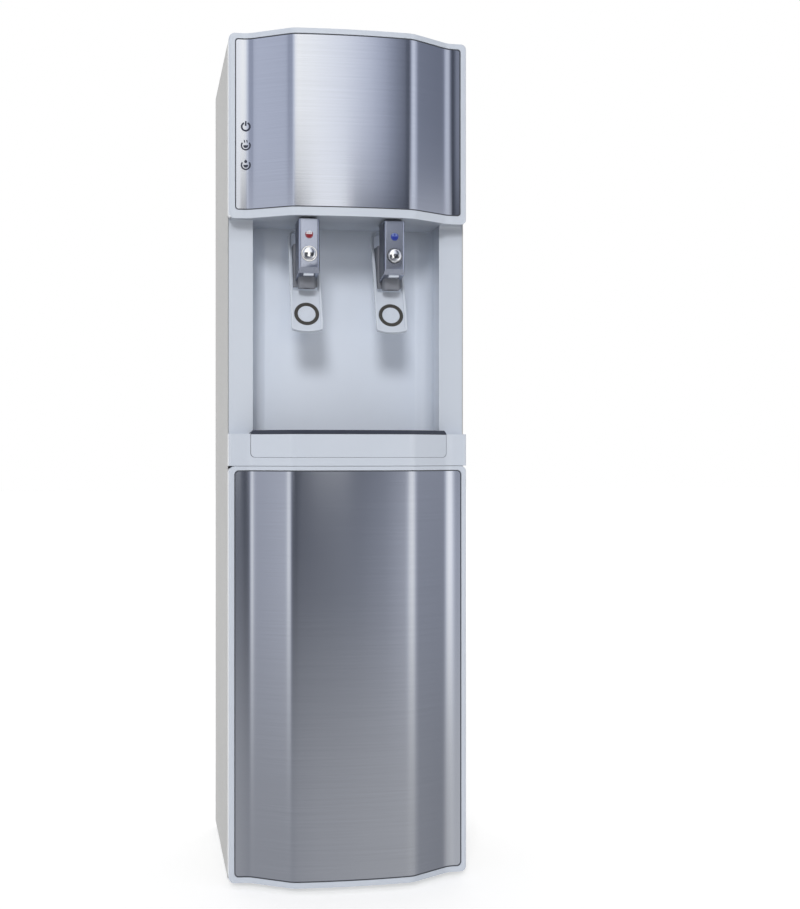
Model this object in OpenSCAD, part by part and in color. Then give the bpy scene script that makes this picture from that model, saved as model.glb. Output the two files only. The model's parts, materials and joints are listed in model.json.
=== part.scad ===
// Floor-standing water dispenser with a hot and a cold lever tap over a drip tray.
// The front faces -Y, the width runs along X, and the feet stand on z = 0.
// All lengths are in millimetres.

/* [Cabinet] */
// Overall width
body_w = 310; // [300:1:360]
// Overall depth, from the crown of the front to the rear edges of the sides
body_d = 360; // [340:1:420]
// Overall height
body_h = 1090; // [1070:1:1180]
// Height of the rubber feet
foot_h = 8; // [5:0.5:20]
// Radius of the rubber feet
foot_r = 16; // [12:1:22]
// Thickness of the folded steel sheet
sheet = 1; // [0.7:0.1:1.5]
// How deep the back panel lies inside the rear edges of the sides
rear_recess = 30; // [26:1:40]

/* [Front] */
// How far the crown of the front stands proud of the flat wings
relief = 40; // [30:1:46]
// Half width of the crown, as a share of the half width of the body
crown_share = 0.497; // [0.42:0.001:0.51]
// Rise of the crown's own arc
crown_sagitta = 4; // [3:0.5:8]
// Slope of the ramps beside the crown, in degrees
ramp_angle = 34; // [30:1:40]
// Radius of the bends between crown, ramp and wing
bend_r = 25; // [10:1:28]
// Radius of the upright front edges
edge_r = 4; // [3.5:0.5:8]
// Radius of the frame corners, seen from the front
corner_r = 8; // [5:0.5:9]
// Wall of the front frames
frame_wall = 3; // [2.5:0.1:3.4]
// Depth of the frames' sides, from the wings to the side panels
frame_return = 22; // [16:1:30]

/* [Front heights] */
// Height of the lower front frame, as a share of what the alcove and the tray leave
lower_share = 0.69255; // [0.66:0.00005:0.71]
// Height of the housing that carries the drip tray
housing_h = 41; // [40:0.5:50]
// Height of the strip under the drip tray
strip_h = 10.6; // [8:0.2:14]
// Height of the alcove
alcove_h = 274.5; // [265:0.5:285]

/* [Steel panels] */
// Thickness of the steel panels
panel_t = 1; // [0.6:0.1:1.2]
// How far the steel lies below the frame's rim
panel_inset = 0.4; // [0.2:0.1:0.8]
// Width of the rim beside the upper panel
upper_rim_side = 8; // [6:0.5:10]
// Height of the rim over the upper panel
upper_rim_top = 6.5; // [4.5:0.5:10]
// Height of the rim under the upper panel
upper_rim_foot = 10.5; // [8:0.5:16]
// Corner radius of the upper panel
upper_panel_r = 4; // [3:0.5:8]
// Width of the rim beside the lower panel
lower_rim_side = 7; // [6:0.5:10]
// Height of the rim over the lower panel
lower_rim_top = 5; // [4.5:0.5:10]
// Height of the rim under the lower panel
lower_rim_foot = 7; // [6:0.5:10]
// Corner radius of the lower panel
lower_panel_r = 6; // [3:0.5:8]
// Width of the ledge that the panels rest on
panel_ledge = 8; // [6:0.5:9]

/* [Alcove] */
// Width of the pillars beside the alcove
pillar_w = 32.3; // [28:0.1:40]
// Depth of the alcove behind the pillars' faces
alcove_depth = 63; // [55:1:80]
// Radius of the alcove's rear corners
alcove_r = 22; // [10:1:26]
// Wall of the alcove housing and the tray housing
moulding_wall = 2.5; // [2:0.1:3]
// Radius of the cove between the pillars and the ceiling
cove_r = 6; // [3:0.5:10]

/* [Drip tray] */
// Distance of the drip tray's ends from the sides of the body
tray_side = 28; // [28:0.5:35]
// Wall of the drip tray
tray_wall = 2.5; // [1.8:0.1:3]
// Radius of the tray's lower front corners
tray_corner_r = 5.5; // [3:0.5:8]
// Thickness of the grille
grille_t = 5; // [4:0.5:8]
// Width of the grille's slots
slot_w = 4; // [3:0.5:5]
// Distance from slot to slot
slot_pitch = 8; // [7:0.5:10]

/* [Taps] */
// Distance of each tap from the middle
tap_x = 55; // [50:1:60]
// Width of the tap covers
cover_w = 26.5; // [25.5:0.5:29]
// Height of the tap covers' fronts
cover_h = 64.5; // [60:0.5:68]
// Depth of the tap covers
cover_d = 40; // [39:0.5:42]
// Width of the levers
lever_w = 40; // [34:1:48]
// Height of the levers, measured upright
lever_h = 138.5; // [130:0.5:142]
// Thickness of the levers
lever_t = 3; // [2:0.5:4]
// Lean of the levers, in degrees
lever_lean = 22; // [20:0.5:23]
// How far a lever swings when a cup presses it, in degrees
lever_swing = 8; // [4:0.5:9]
// Radius of the lever pins
pin_r = 2; // [1.5:0.1:2.3]
// Radius of the domed buttons
button_r = 8.6; // [7:0.1:8.8]
// Travel of the domed buttons
button_travel = 3; // [1:0.5:3.5]

/* [Insides] */
// How far the tank shelf lies below the top of the alcove
shelf_drop = 164.5; // [154.5:5:194.5]
// Radius of the cold tank, as a share of the room for the tanks
cold_share = 0.338; // [0.3:0.002:0.35]
// Height of the cold tank
cold_h = 230; // [180:5:240]
// Radius of the hot tank, as a share of the room for the tanks
hot_share = 0.299; // [0.25:0.002:0.31]
// Height of the hot tank
hot_h = 185; // [150:5:200]
// Radius of the compressor
compressor_r = 72; // [60:1:74]
// Height of the compressor
compressor_h = 160; // [130:5:180]
// Radius of the filter cartridges
filter_r = 28; // [22:1:32]
// Length of the filter cartridges
filter_l = 250; // [200:5:300]

/* [Rear connections] */
// Radius of the water tube that pushes into the inlet
inlet_bore_r = 3.2; // [3:0.05:4]
// Depth of the water inlet's bore
inlet_bore_l = 20; // [14:1:24]
// Radius of the condenser's tube
condenser_tube_r = 2.4; // [2:0.1:3]
// Distance from run to run of the condenser
condenser_pitch = 60; // [50:2:64]
// Distance from wire to wire of the condenser
wire_pitch = 9; // [8:0.5:12]

/* [Hidden] */

$fn = 64;
// Overrun of a cut past the face it opens
overrun = 1;
// Clearance where one piece seats in or on another
fit = 0.3;
// Open seam between the stacked front pieces
seam = 0.5;
// Radial clearance of a pin or stem in its bore
running = 0.05;
// Clearance all round a moving front piece
front_gap = 0.5;

// Colours
white_c = [0.86, 0.87, 0.89];
steel_c = [0.62, 0.64, 0.67];
side_c = [0.78, 0.78, 0.76];
dark_c = [0.22, 0.24, 0.29];
silver_c = [0.66, 0.67, 0.70];
black_c = [0.10, 0.10, 0.11];
copper_c = [0.72, 0.45, 0.30];
foam_c = [0.93, 0.92, 0.86];
tube_c = [0.88, 0.90, 0.92];
zinc_c = [0.70, 0.71, 0.72];

// Main planes
side_x = body_w / 2;
front_y = -body_d / 2;
back_y = body_d / 2;
wing_y = front_y + relief;
joint_y = wing_y + frame_return;
inner_x = side_x - sheet - fit;
rear_panel_y = back_y - rear_recess;
lower_h = lower_share * (body_h - foot_h - seam - housing_h - alcove_h);
lower_top_z = foot_h + lower_h;
housing_z = lower_top_z + seam;
housing_top_z = housing_z + housing_h;
hood_z = housing_top_z + alcove_h;

// Shape of the front in plan, as points with the heading of the line there
bend_steps = 6;
edge_steps = 4;
crown_steps = 8;
// Least radius left inside a filleted edge
least_r = 0.4;
crown_half = crown_share * side_x;
crown_r = (crown_half * crown_half + crown_sagitta * crown_sagitta) / (2 * crown_sagitta);
crown_slope = asin(crown_half / crown_r);
ramp_rise = relief - crown_sagitta;
ramp_run = ramp_rise / tan(ramp_angle);
crown_start = crown_half - bend_r * tan((ramp_angle - crown_slope) / 2) * cos(crown_slope);

function reversed(list) = [for (i = [len(list) - 1:-1:0]) list[i]];
function flat(path) = [for (p = path) [p[0], p[1]]];
function mirrored(path) = [for (p = reversed(path)) [-p[0], p[1], -p[2]]];
function offset_path(path, t) = [for (p = path) [p[0] - t * sin(p[2]), p[1] + t * cos(p[2]), p[2]]];

// Arc that rounds the corner b between two headings
function fillet_arc(b, a_in, a_out, r, n) =
    let (turn = a_out - a_in, s = sign(turn), run = r * tan(abs(turn) / 2),
        c = b - run * [cos(a_in), sin(a_in)] + s * r * [-sin(a_in), cos(a_in)])
    [for (i = [0:n]) let (a = a_in + turn * i / n) [c[0] + s * r * sin(a), c[1] - s * r * cos(a), a]];

function crown_point(x) = let (a = asin(x / crown_r)) [x, front_y + crown_r * (1 - cos(a)), a];

function left_half(r) = concat(
    [[-side_x, joint_y, -90]],
    fillet_arc([-side_x, wing_y], -90, 0, r, edge_steps),
    fillet_arc([-crown_half - ramp_run, wing_y], 0, -ramp_angle, bend_r, bend_steps),
    fillet_arc([-crown_half, wing_y - ramp_rise], -ramp_angle, -crown_slope, bend_r, bend_steps),
    [for (i = [1:crown_steps - 1]) crown_point(-crown_start * (1 - i / crown_steps))]);

// The front line, moved inwards by t
function front_line(t) =
    let (half = left_half(max(edge_r, t + least_r)))
    flat(offset_path(concat(half, [crown_point(0)], mirrored(half)), t));

// Band of the front between two depths below its surface
module front_band(t0, t1) {
    polygon(concat(front_line(t0), reversed(front_line(t1))));
}

// All that lies behind the front line, back to y
module front_region(t, y) {
    polygon(concat(front_line(t), [[side_x - t, y], [t - side_x, y]]));
}

module rounded_rect(w, h, r) {
    square([w - 2 * r, h], center = true);
    square([w, h - 2 * r], center = true);
    for (x = [-1, 1], y = [-1, 1])
        translate([x * (w / 2 - r), y * (h / 2 - r)])
            circle(r);
}

// Prism along Y with a rounded rectangle in front view
module front_prism(w, z0, z1, r, y0 = front_y - overrun, y1 = back_y + overrun) {
    translate([0, y1, (z0 + z1) / 2])
        rotate([90, 0, 0])
            linear_extrude(y1 - y0)
                rounded_rect(w, z1 - z0, r);
}

module at_z(z) {
    translate([0, 0, z])
        children();
}

// Cylinder along Y from y0 to y1
module y_cylinder(r, y0, y1, x = 0, z = 0) {
    translate([x, y0, z])
        rotate([-90, 0, 0])
            cylinder(h = y1 - y0, r = r);
}

// Cylinder along X from x0 to x1
module x_cylinder(r, x0, x1, y = 0, z = 0) {
    translate([x0, y, z])
        rotate([0, 90, 0])
            cylinder(h = x1 - x0, r = r);
}

// Box between two corners
module box(a, b) {
    translate(a)
        cube(b - a);
}

// Tubes swept along a route with rounded corners
tube_steps = 4;
tube_sides = 8;

function unit(v) = v / norm(v);

function bend(a, b, c, run) =
    let (p = b + unit(a - b) * run, q = b + unit(c - b) * run)
    [for (i = [0:tube_steps]) let (t = i / tube_steps)
        (1 - t) * (1 - t) * p + 2 * t * (1 - t) * b + t * t * q];

function route(pts, run) = concat(
    [pts[0]],
    [for (i = [1:1:len(pts) - 2]) each bend(pts[i - 1], pts[i], pts[i + 1], run)],
    [pts[len(pts) - 1]]);

function heading(path, i) = unit(path[min(i + 1, len(path) - 1)] - path[max(i - 1, 0)]);

// A side direction carried along the path without twisting
function carried(path, i, side) =
    let (t = heading(path, i), s = unit(side - (side * t) * t))
    i == len(path) - 1 ? [s] : concat([s], carried(path, i + 1, s));

module sweep(path, r, sides) {
    t0 = heading(path, 0);
    across = abs(t0[2]) > 0.9 ? [1, 0, 0] : [0, 0, 1];
    frames = carried(path, 0, across);
    n = len(path);
    points = [for (i = [0:n - 1]) let (t = heading(path, i), s = frames[i], u = cross(t, s))
        for (k = [0:sides - 1]) path[i] + r * (cos(360 * k / sides) * s + sin(360 * k / sides) * u)];
    walls = [for (i = [0:n - 2], k = [0:sides - 1])
        let (a = i * sides + k, b = i * sides + (k + 1) % sides)
        each [[a, b + sides, b], [a, a + sides, b + sides]]];
    caps = [[for (k = [0:sides - 1]) k], [for (k = [sides - 1:-1:0]) (n - 1) * sides + k]];
    polyhedron(points, concat(walls, caps));
}

module tube(pts, r, run) {
    sweep(route(pts, run), r, tube_sides);
}

// Helix round the z axis, from z0 up
function helix(r, pitch, turns, steps, z0) =
    [for (i = [0:turns * steps]) let (a = 360 * i / steps)
        [r * cos(a), r * sin(a), z0 + pitch * i / steps]];

// Base plate and feet
base_t = 1.5;
base_rim_h = 20;
base_z = foot_h;
base_top_z = base_z + base_t;
foot_inset_x = 32;
foot_inset_y = 28;
foot_stud_r = 3;
foot_stud_h = 6;
foot_x = side_x - foot_inset_x;
foot_front_y = joint_y + foot_inset_y;
foot_back_y = back_y - foot_inset_y;
base_rear_y = back_y - sheet - fit;

module at_feet() {
    for (x = [-foot_x, foot_x], y = [foot_front_y, foot_back_y])
        translate([x, y, 0])
            children();
}

module base_plate() {
    color(zinc_c)
        difference() {
            union() {
                at_z(base_z)
                    linear_extrude(base_t) {
                        front_region(frame_wall + fit, joint_y + overrun);
                        translate([-inner_x, joint_y])
                            square([2 * inner_x, base_rear_y - joint_y]);
                    }
                for (s = [-1, 1])
                    mirror([s < 0 ? 1 : 0, 0, 0])
                        box([inner_x - sheet, joint_y + fit, base_z],
                            [inner_x, base_rear_y, base_z + base_rim_h]);
                box([-inner_x, base_rear_y - sheet, base_z],
                    [inner_x, base_rear_y, base_z + base_rim_h]);
            }
            at_feet()
                at_z(base_z - overrun)
                    cylinder(h = base_t + 2 * overrun, r = foot_stud_r + fit);
        }
}

module rubber_feet() {
    foot_taper = 2;
    color(black_c)
        at_feet() {
            rotate_extrude()
                polygon([[0, 0], [foot_r - foot_taper, 0], [foot_r, foot_h / 2],
                    [foot_r, foot_h], [0, foot_h]]);
            at_z(foot_h - overrun)
                cylinder(h = foot_stud_h + overrun, r = foot_stud_r);
        }
}

// Side panels: folded sheet with a rear flange and one for the back panel
cover_skirt_h = 10;
side_top_z = body_h - cover_skirt_h - fit;
rear_flange = 12;
flange_z = base_z + base_rim_h + rear_flange;
screw_r = 1.6;
screw_edge = 7;
screw_rows = 5;
screw_x = inner_x - screw_edge;
screw_z0 = flange_z + 2 * screw_edge;
screw_z1 = side_top_z - 3 * screw_edge;

module at_screws() {
    for (x = [-screw_x, screw_x], i = [0:screw_rows - 1])
        translate([x, 0, screw_z0 + (screw_z1 - screw_z0) * i / (screw_rows - 1)])
            children();
}

module side_panel() {
    color(side_c)
        difference() {
            union() {
                box([side_x - sheet, joint_y + fit, base_z], [side_x, back_y, side_top_z]);
                box([side_x - rear_flange, back_y - sheet, base_z], [side_x, back_y, side_top_z]);
                box([inner_x - rear_flange, rear_panel_y - 2 * sheet - fit, flange_z],
                    [side_x - sheet / 2, rear_panel_y - sheet - fit, side_top_z - rear_flange]);
                box([inner_x - rear_flange, joint_y + rear_flange, side_top_z - sheet],
                    [side_x - sheet / 2, back_y - rear_flange, side_top_z]);
            }
            at_screws()
                y_cylinder(screw_r + fit, rear_panel_y - rear_flange, rear_panel_y + overrun);
        }
}

module right_side_panel() {
    side_panel();
}

module left_side_panel() {
    mirror([1, 0, 0])
        side_panel();
}

// Back panel: a plate with louvre slots and cut-outs
vent_side = 50;
vent_h = 5;
vent_pitch = 13;
vent_rows = 13;
vent_foot = 50;
power_up = 45;
switch_up = 120;
water_up = 75;
drain_up = 25;
back_z0 = base_z + base_rim_h + fit;
vent_z0 = back_z0 + vent_foot;
service_in = 50;
service_x = side_x - service_in;
vent_w = 2 * (service_x - vent_side);
power_z = back_z0 + power_up;
switch_z = back_z0 + switch_up;
water_z = back_z0 + water_up;
drain_z = back_z0 + drain_up;
back_z1 = side_top_z - rear_flange;
condenser_foot = 40;
condenser_off = 13;
condenser_z0 = vent_z0 + vent_pitch * vent_rows + condenser_foot;
condenser_in = 45;
condenser_x = side_x - condenser_in;
condenser_y = rear_panel_y + condenser_off;
condenser_top_room = 50;
condenser_runs = 2 * floor((side_top_z - condenser_top_room - condenser_z0) / condenser_pitch / 2) + 1;
condenser_z1 = condenser_z0 + condenser_pitch * (condenser_runs - 1);

module back_panel() {
    color(zinc_c)
        difference() {
            box([-inner_x, rear_panel_y - sheet, back_z0], [inner_x, rear_panel_y, back_z1]);
            for (i = [0:vent_rows - 1])
                rear_cut(vent_w, vent_h, 0, vent_z0 + vent_pitch * i);
            at_screws()
                rear_hole(screw_r, 0, 0);
            rear_cut(power_body_w + 2 * fit, power_body_h + 2 * fit, -service_x, power_z);
            rear_cut(switch_body_w + 2 * fit, switch_body_h + 2 * fit, -service_x, switch_z);
            rear_hole(inlet_body_r, service_x, water_z);
            rear_hole(drain_r, service_x, drain_z);
            rear_hole(copper_r, -condenser_x, condenser_z0);
            rear_hole(copper_r, condenser_x, condenser_z1);
        }
}

// Cuts through the back panel
module rear_cut(w, h, x, z) {
    translate([x, rear_panel_y, z])
        cube([w, 2 * sheet + overrun, h], center = true);
}

module rear_hole(r, x, z) {
    y_cylinder(r + fit, rear_panel_y - sheet - overrun, rear_panel_y + overrun, x, z);
}

screw_head_r = 3.5;
screw_head_h = 2;
screw_l = 7;

module rear_screws() {
    color(zinc_c)
        at_screws() {
            y_cylinder(screw_head_r, rear_panel_y, rear_panel_y + screw_head_h);
            y_cylinder(screw_r, rear_panel_y - screw_l, rear_panel_y + screw_head_h / 2);
        }
}

// Top cover: a shallow lid with rounded long edges
lid_wall = 2;

module top_cover() {
    color(side_c)
        difference() {
            intersection() {
                box([-side_x, joint_y + fit, body_h - cover_skirt_h], [side_x, back_y, body_h]);
                front_prism(body_w, body_h - 2 * cover_skirt_h - corner_r, body_h, corner_r);
            }
            front_prism(body_w - 2 * lid_wall, body_h - 2 * cover_skirt_h - corner_r, body_h - lid_wall,
                corner_r - lid_wall, joint_y + fit + lid_wall, back_y - lid_wall);
        }
}

// Front frames: bowed shells with a pocket for the steel and a window behind it
pocket = panel_inset + panel_t;
clip_r = 1.5;
clip_rows = 3;
clip_head_r = 3.2;
clip_head_h = 3;

// Places of the clips in the rim beside a panel
module at_clips(z0, z1, x) {
    for (s = [-1, 1], i = [0:clip_rows - 1])
        translate([s * x, 0, z0 + (z1 - z0) * (i + 1) / (clip_rows + 1)])
            children();
}

module front_frame(z0, z1, window_w, w0, w1, r) {
    difference() {
        intersection() {
            union() {
                at_z(z0)
                    linear_extrude(z1 - z0)
                        front_band(0, frame_wall);
                at_z(z1 - frame_wall)
                    linear_extrude(frame_wall)
                        front_region(0, joint_y);
            }
            front_prism(body_w, z0, z1, corner_r);
        }
        intersection() {
            at_z(z0)
                linear_extrude(z1 - z0)
                    front_band(-overrun, pocket);
            front_prism(window_w, w0, w1, r);
        }
        front_prism(window_w - 2 * panel_ledge, w0 + panel_ledge, w1 - panel_ledge, r);
        at_clips(w0, w1, window_w / 2 - panel_ledge / 2)
            y_cylinder(clip_r + fit, wing_y, wing_y + frame_wall + overrun);
    }
}

module steel_panel(window_w, w0, w1, r) {
    intersection() {
        at_z(w0)
            linear_extrude(w1 - w0)
                front_band(panel_inset, pocket);
        front_prism(window_w - 2 * fit, w0 + fit, w1 - fit, r);
    }
}

upper_window_w = body_w - 2 * upper_rim_side;
upper_w0 = hood_z + upper_rim_foot;
upper_w1 = body_h - upper_rim_top;
lower_window_w = body_w - 2 * lower_rim_side;
lower_w0 = foot_h + lower_rim_foot;
lower_w1 = lower_top_z - lower_rim_top;

module upper_front_frame() {
    color(white_c)
        front_frame(hood_z, body_h, upper_window_w, upper_w0, upper_w1, upper_panel_r);
}

module upper_steel_panel() {
    color(steel_c)
        steel_panel(upper_window_w, upper_w0, upper_w1, upper_panel_r);
}

module lower_front_frame() {
    color(white_c)
        front_frame(foot_h, lower_top_z, lower_window_w, lower_w0, lower_w1, lower_panel_r);
}

module lower_steel_panel() {
    color(steel_c)
        steel_panel(lower_window_w, lower_w0, lower_w1, lower_panel_r);
}

// Studs behind the panels, with their push nuts behind the ledge
module panel_clip() {
    y_cylinder(clip_r, wing_y + pocket, wing_y + frame_wall + clip_head_h / 2);
    y_cylinder(clip_head_r, wing_y + frame_wall, wing_y + frame_wall + clip_head_h);
}

module panel_clips() {
    color(zinc_c) {
        at_clips(upper_w0, upper_w1, upper_window_w / 2 - panel_ledge / 2)
            panel_clip();
        at_clips(lower_w0, lower_w1, lower_window_w / 2 - panel_ledge / 2)
            panel_clip();
    }
}

// Alcove housing: pillars, rear wall and the ceiling that carries the taps
alcove_half = side_x - pillar_w;
alcove_back_y = joint_y + alcove_depth;
ceiling_inset = 1;
ceiling_t = 3;
ceiling_z = hood_z + ceiling_inset;
ceiling_top_z = ceiling_z + ceiling_t;
pillar_hem = 15;

module alcove_plan(grow) {
    half = alcove_half + grow;
    back = alcove_back_y + grow;
    r = alcove_r + grow;
    translate([-half, joint_y])
        square([2 * half, back - r - joint_y]);
    translate([r - half, joint_y])
        square([2 * (half - r), back - joint_y]);
    for (s = [-1, 1])
        translate([s * (half - r), back - r])
            circle(r);
}

module cove() {
    translate([alcove_half, joint_y, ceiling_z])
        rotate([90, 0, 90])
            linear_extrude(side_x - frame_wall - fit - alcove_half)
                difference() {
                    translate([-cove_r, -cove_r])
                        square(cove_r + overrun);
                    translate([-cove_r, -cove_r])
                        circle(cove_r);
                }
}

module alcove_housing() {
    color(white_c)
        difference() {
            union() {
                at_z(housing_top_z)
                    linear_extrude(ceiling_top_z - housing_top_z) {
                        alcove_plan(moulding_wall);
                        for (s = [0, 1])
                            mirror([s, 0]) {
                                translate([alcove_half, joint_y])
                                    square([inner_x - alcove_half, moulding_wall]);
                                translate([inner_x - moulding_wall, joint_y])
                                    square([moulding_wall, pillar_hem]);
                            }
                    }
                at_z(ceiling_z)
                    linear_extrude(ceiling_t)
                        front_region(frame_wall + fit, joint_y + overrun);
                for (s = [0, 1])
                    mirror([s, 0, 0])
                        cove();
            }
            at_z(housing_top_z - overrun)
                linear_extrude(ceiling_z - housing_top_z + overrun) {
                    alcove_plan(0);
                    translate([-alcove_half, joint_y - overrun])
                        square([2 * alcove_half, 2 * overrun]);
                }
            at_taps()
                box([-neck_half - fit, block_y0 - fit, ceiling_z - overrun],
                    [neck_half + fit, ear_y1 + fit, ceiling_top_z + overrun]);
        }
}

// Tray housing with the pocket that the drip tray slides into
tray_half = side_x - tray_side;
tray_back_y = alcove_back_y - 2 * front_gap;
housing_back_wall = 7;
tray_floor_z = housing_z + strip_h;
tray_z0 = tray_floor_z + fit;
tray_z1 = housing_top_z - front_gap - fit;
tray_pocket_half = tray_half + front_gap;
housing_back_y = tray_back_y + front_gap + housing_back_wall;

module tray_housing() {
    color(white_c)
        difference() {
            at_z(housing_z)
                linear_extrude(housing_h) {
                    front_region(0, joint_y);
                    translate([-inner_x, joint_y])
                        square([2 * inner_x, housing_back_y - joint_y]);
                }
            front_prism(2 * tray_pocket_half, tray_floor_z, housing_top_z + tray_corner_r + overrun,
                tray_corner_r, front_y - overrun, tray_back_y + front_gap);
            at_z(housing_z - overrun)
                linear_extrude(tray_floor_z - moulding_wall - housing_z + overrun)
                    intersection() {
                        front_region(frame_wall, housing_back_y - moulding_wall);
                        translate([moulding_wall - inner_x, front_y])
                            square([2 * (inner_x - moulding_wall), body_d]);
                    }
            for (s = [0, 1])
                mirror([s, 0, 0])
                    box([tray_pocket_half + moulding_wall, joint_y, housing_z - overrun],
                        [inner_x - moulding_wall, housing_back_y - moulding_wall,
                            housing_top_z - moulding_wall]);
        }
}

// Drip tray with a bowed front, and the slotted grille that lies on it
module tray_plan(t) {
    intersection() {
        front_region(t, tray_back_y - t);
        translate([t - tray_half, front_y])
            square([2 * (tray_half - t), body_d]);
    }
}

module drip_tray() {
    color(white_c)
        difference() {
            intersection() {
                at_z(tray_z0)
                    linear_extrude(tray_z1 - tray_z0)
                        tray_plan(0);
                front_prism(2 * tray_half, tray_z0, tray_z1 + tray_corner_r + overrun, tray_corner_r);
            }
            at_z(tray_z0 + tray_wall)
                linear_extrude(tray_z1 - tray_z0)
                    tray_plan(tray_wall);
        }
}

grille_skirt_h = 4;
grille_skirt_w = 2;
grille_z = tray_z1 + fit;
grille_border = 7;
grille_bar = 9;
grille_chamfer = 3;

module grille_plan(t) {
    intersection() {
        front_region(t, joint_y - front_gap - t);
        translate([t - tray_half, front_y])
            square([2 * (tray_half - t), body_d]);
    }
    intersection() {
        alcove_plan(-front_gap - t);
        translate([-side_x, joint_y - overrun])
            square([body_w, alcove_depth]);
    }
    translate([t + front_gap - alcove_half, joint_y - 2 * front_gap - t])
        square([2 * (alcove_half - front_gap - t), 4 * front_gap + t]);
}

module slot_row(y0, y1) {
    count = floor((alcove_half - 2 * grille_border) / slot_pitch);
    at_z(grille_z - grille_skirt_h - overrun)
        linear_extrude(grille_t + grille_skirt_h + 2 * overrun)
            for (i = [-count:count])
                translate([i * slot_pitch, (y0 + y1) / 2])
                    rounded_rect(slot_w, y1 - y0, slot_w / 2 - least_r);
}

module drip_grille() {
    slot_y0 = wing_y + grille_border;
    slot_y1 = tray_back_y - grille_border;
    slot_mid = (slot_y0 + slot_y1) / 2;
    bevel = sqrt(2) * grille_chamfer;
    color(dark_c)
        difference() {
            union() {
                at_z(grille_z)
                    linear_extrude(grille_t)
                        grille_plan(0);
                at_z(grille_z - grille_skirt_h)
                    linear_extrude(grille_skirt_h + overrun)
                        intersection() {
                            grille_plan(tray_wall + front_gap);
                            tray_plan(tray_wall + front_gap);
                        }
            }
            at_z(grille_z - grille_skirt_h - overrun)
                linear_extrude(grille_skirt_h + overrun)
                    intersection() {
                        grille_plan(tray_wall + front_gap + grille_skirt_w);
                        tray_plan(tray_wall + front_gap + grille_skirt_w);
                    }
            slot_row(slot_y0, slot_mid - grille_bar / 2);
            slot_row(slot_mid + grille_bar / 2, slot_y1);
            for (s = [-1, 1])
                translate([s * tray_half, front_y, grille_z + grille_t])
                    rotate([0, 45, 0])
                        cube([bevel, 2 * body_d, bevel], center = true);
        }
}

// Taps. Each hangs from the ceiling; its lever presses the stem down
cover_wall = 1.8;
cover_setback = 16;
chin_h = 7;
chin_run = 4;
cover_rear_drop = 13;
cover_edge_r = 3;
cover_y = front_y + cover_setback;
cover_gap = 3;
cover_top_z = ceiling_z - cover_gap;
cover_foot_z = ceiling_z - cover_h;
cover_back_y = cover_y + cover_d;
stem_setback = 28;
stem_r = 2.5;
stem_chamber_r = 5;
stem_slack = 0.4;
collar_r = 4.5;
collar_h = 3;
seat_r = 3.2;
seat_t = 3;
seat_up = 10;
plug_r = 4.2;
plug_h = 5;
spout_half = 11;
spout_d = 15;
spout_drop = 24;
spout_foot_z = cover_foot_z - spout_drop;
trunk_up = 3.5;
trunk_z0 = spout_foot_z + trunk_up;
stem_y = cover_y + stem_setback;
block_half = 10.5;
block_rear = 8;
button_room = 1.2;
block_y1 = stem_y + block_rear;
block_z0 = cover_foot_z - chin_h + cover_wall + fit;
seat_z = block_z0 + seat_up;
nipple_lead = 11;
nipple_r = 4;
nipple_bore_r = 2.5;
nipple_h = 21.5;
nipple_y = stem_y - nipple_lead;
nipple_top_z = ceiling_top_z + nipple_h;
neck_half = 11;
neck_rear = 5.5;
neck_y1 = nipple_y + neck_rear;
flange_over = 5;
flange_t = 2.5;
arm_half = 5;
arm_h = 8;
pin_drop = 17.5;
pin_back = 20;
pin_z = ceiling_z - pin_drop;
pin_y = cover_back_y + pin_back;
ear_t = 3;
ear_half_l = 4.5;
ear_y0 = pin_y - ear_half_l;
ear_y1 = pin_y + ear_half_l;
ear_foot_z = pin_z - ear_half_l;
stem_top_z = pin_z - arm_h / 2 - stem_slack;
stem_travel = (pin_y - stem_y) * tan(lever_swing);
spring_wire_r = 0.35;
spring_r = 3.4;
spring_turns = 3;
spring_closed = 2 * spring_wire_r * (spring_turns + 1) + 2 * fit;
block_z1 = stem_top_z - collar_h - stem_travel - spring_closed;
spring_steps = 16;
coil_sides = 6;
lever_back = 18;
lever_room = 6.7;
lever_rim = 2.4;
lever_rim_w = 2.6;
lever_top_r = 10;
lever_foot_r = 7;
lever_foot_arc = 55;
lever_bar = 4;
lever_gap = 0.9;
lever_tongue = 8;
lever_y = cover_y + lever_back;
lever_z = ceiling_z - lever_room - lever_h;
lever_l = lever_h / cos(lever_lean);
// The part of a tap inside its lever's window
trunk_half = lever_w / 2 - lever_bar - lever_gap;
trunk_z1 = pin_z - arm_h / 2 - lever_tongue;
// Where a lever's arm meets its leaning sheet
lever_arm_y = lever_y + (pin_z - arm_h / 2 - lever_z) * tan(lever_lean) + lever_t / 2;
ring_r = 16;
ring_w = 4.4;
ring_t = 1.2;
ring_up = 25.8;
button_drop = 47.5;
button_sleeve = 0.8;
button_lip = 1.2;
button_rise = 2.2;
button_dome = 2;
button_foot_t = 1;
sleeve_l = 6;
button_z = ceiling_z - button_drop;
sleeve_y1 = cover_y + sleeve_l;
button_y1 = sleeve_y1 + fit + button_foot_t;
block_y0 = button_y1 + button_travel + button_room;

module at_taps() {
    for (x = [-tap_x, tap_x])
        translate([x, 0, 0])
            children();
}

// Side outline of a tap cover, moved inwards by t
module cover_outline(t, top) {
    polygon([[cover_y + t, top], [cover_y + t, cover_foot_z + t / 2],
        [cover_y + chin_run + t, cover_foot_z - chin_h + t],
        [cover_back_y, cover_foot_z - cover_rear_drop + t], [cover_back_y, top]]);
}

module x_extrude(w) {
    translate([-w / 2, 0, 0])
        rotate([90, 0, 90])
            linear_extrude(w)
                children();
}

module spout_plan(grow) {
    translate([0, stem_y])
        rounded_rect(2 * (spout_half + grow), spout_d + 2 * grow, spout_d / 3);
}

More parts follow.
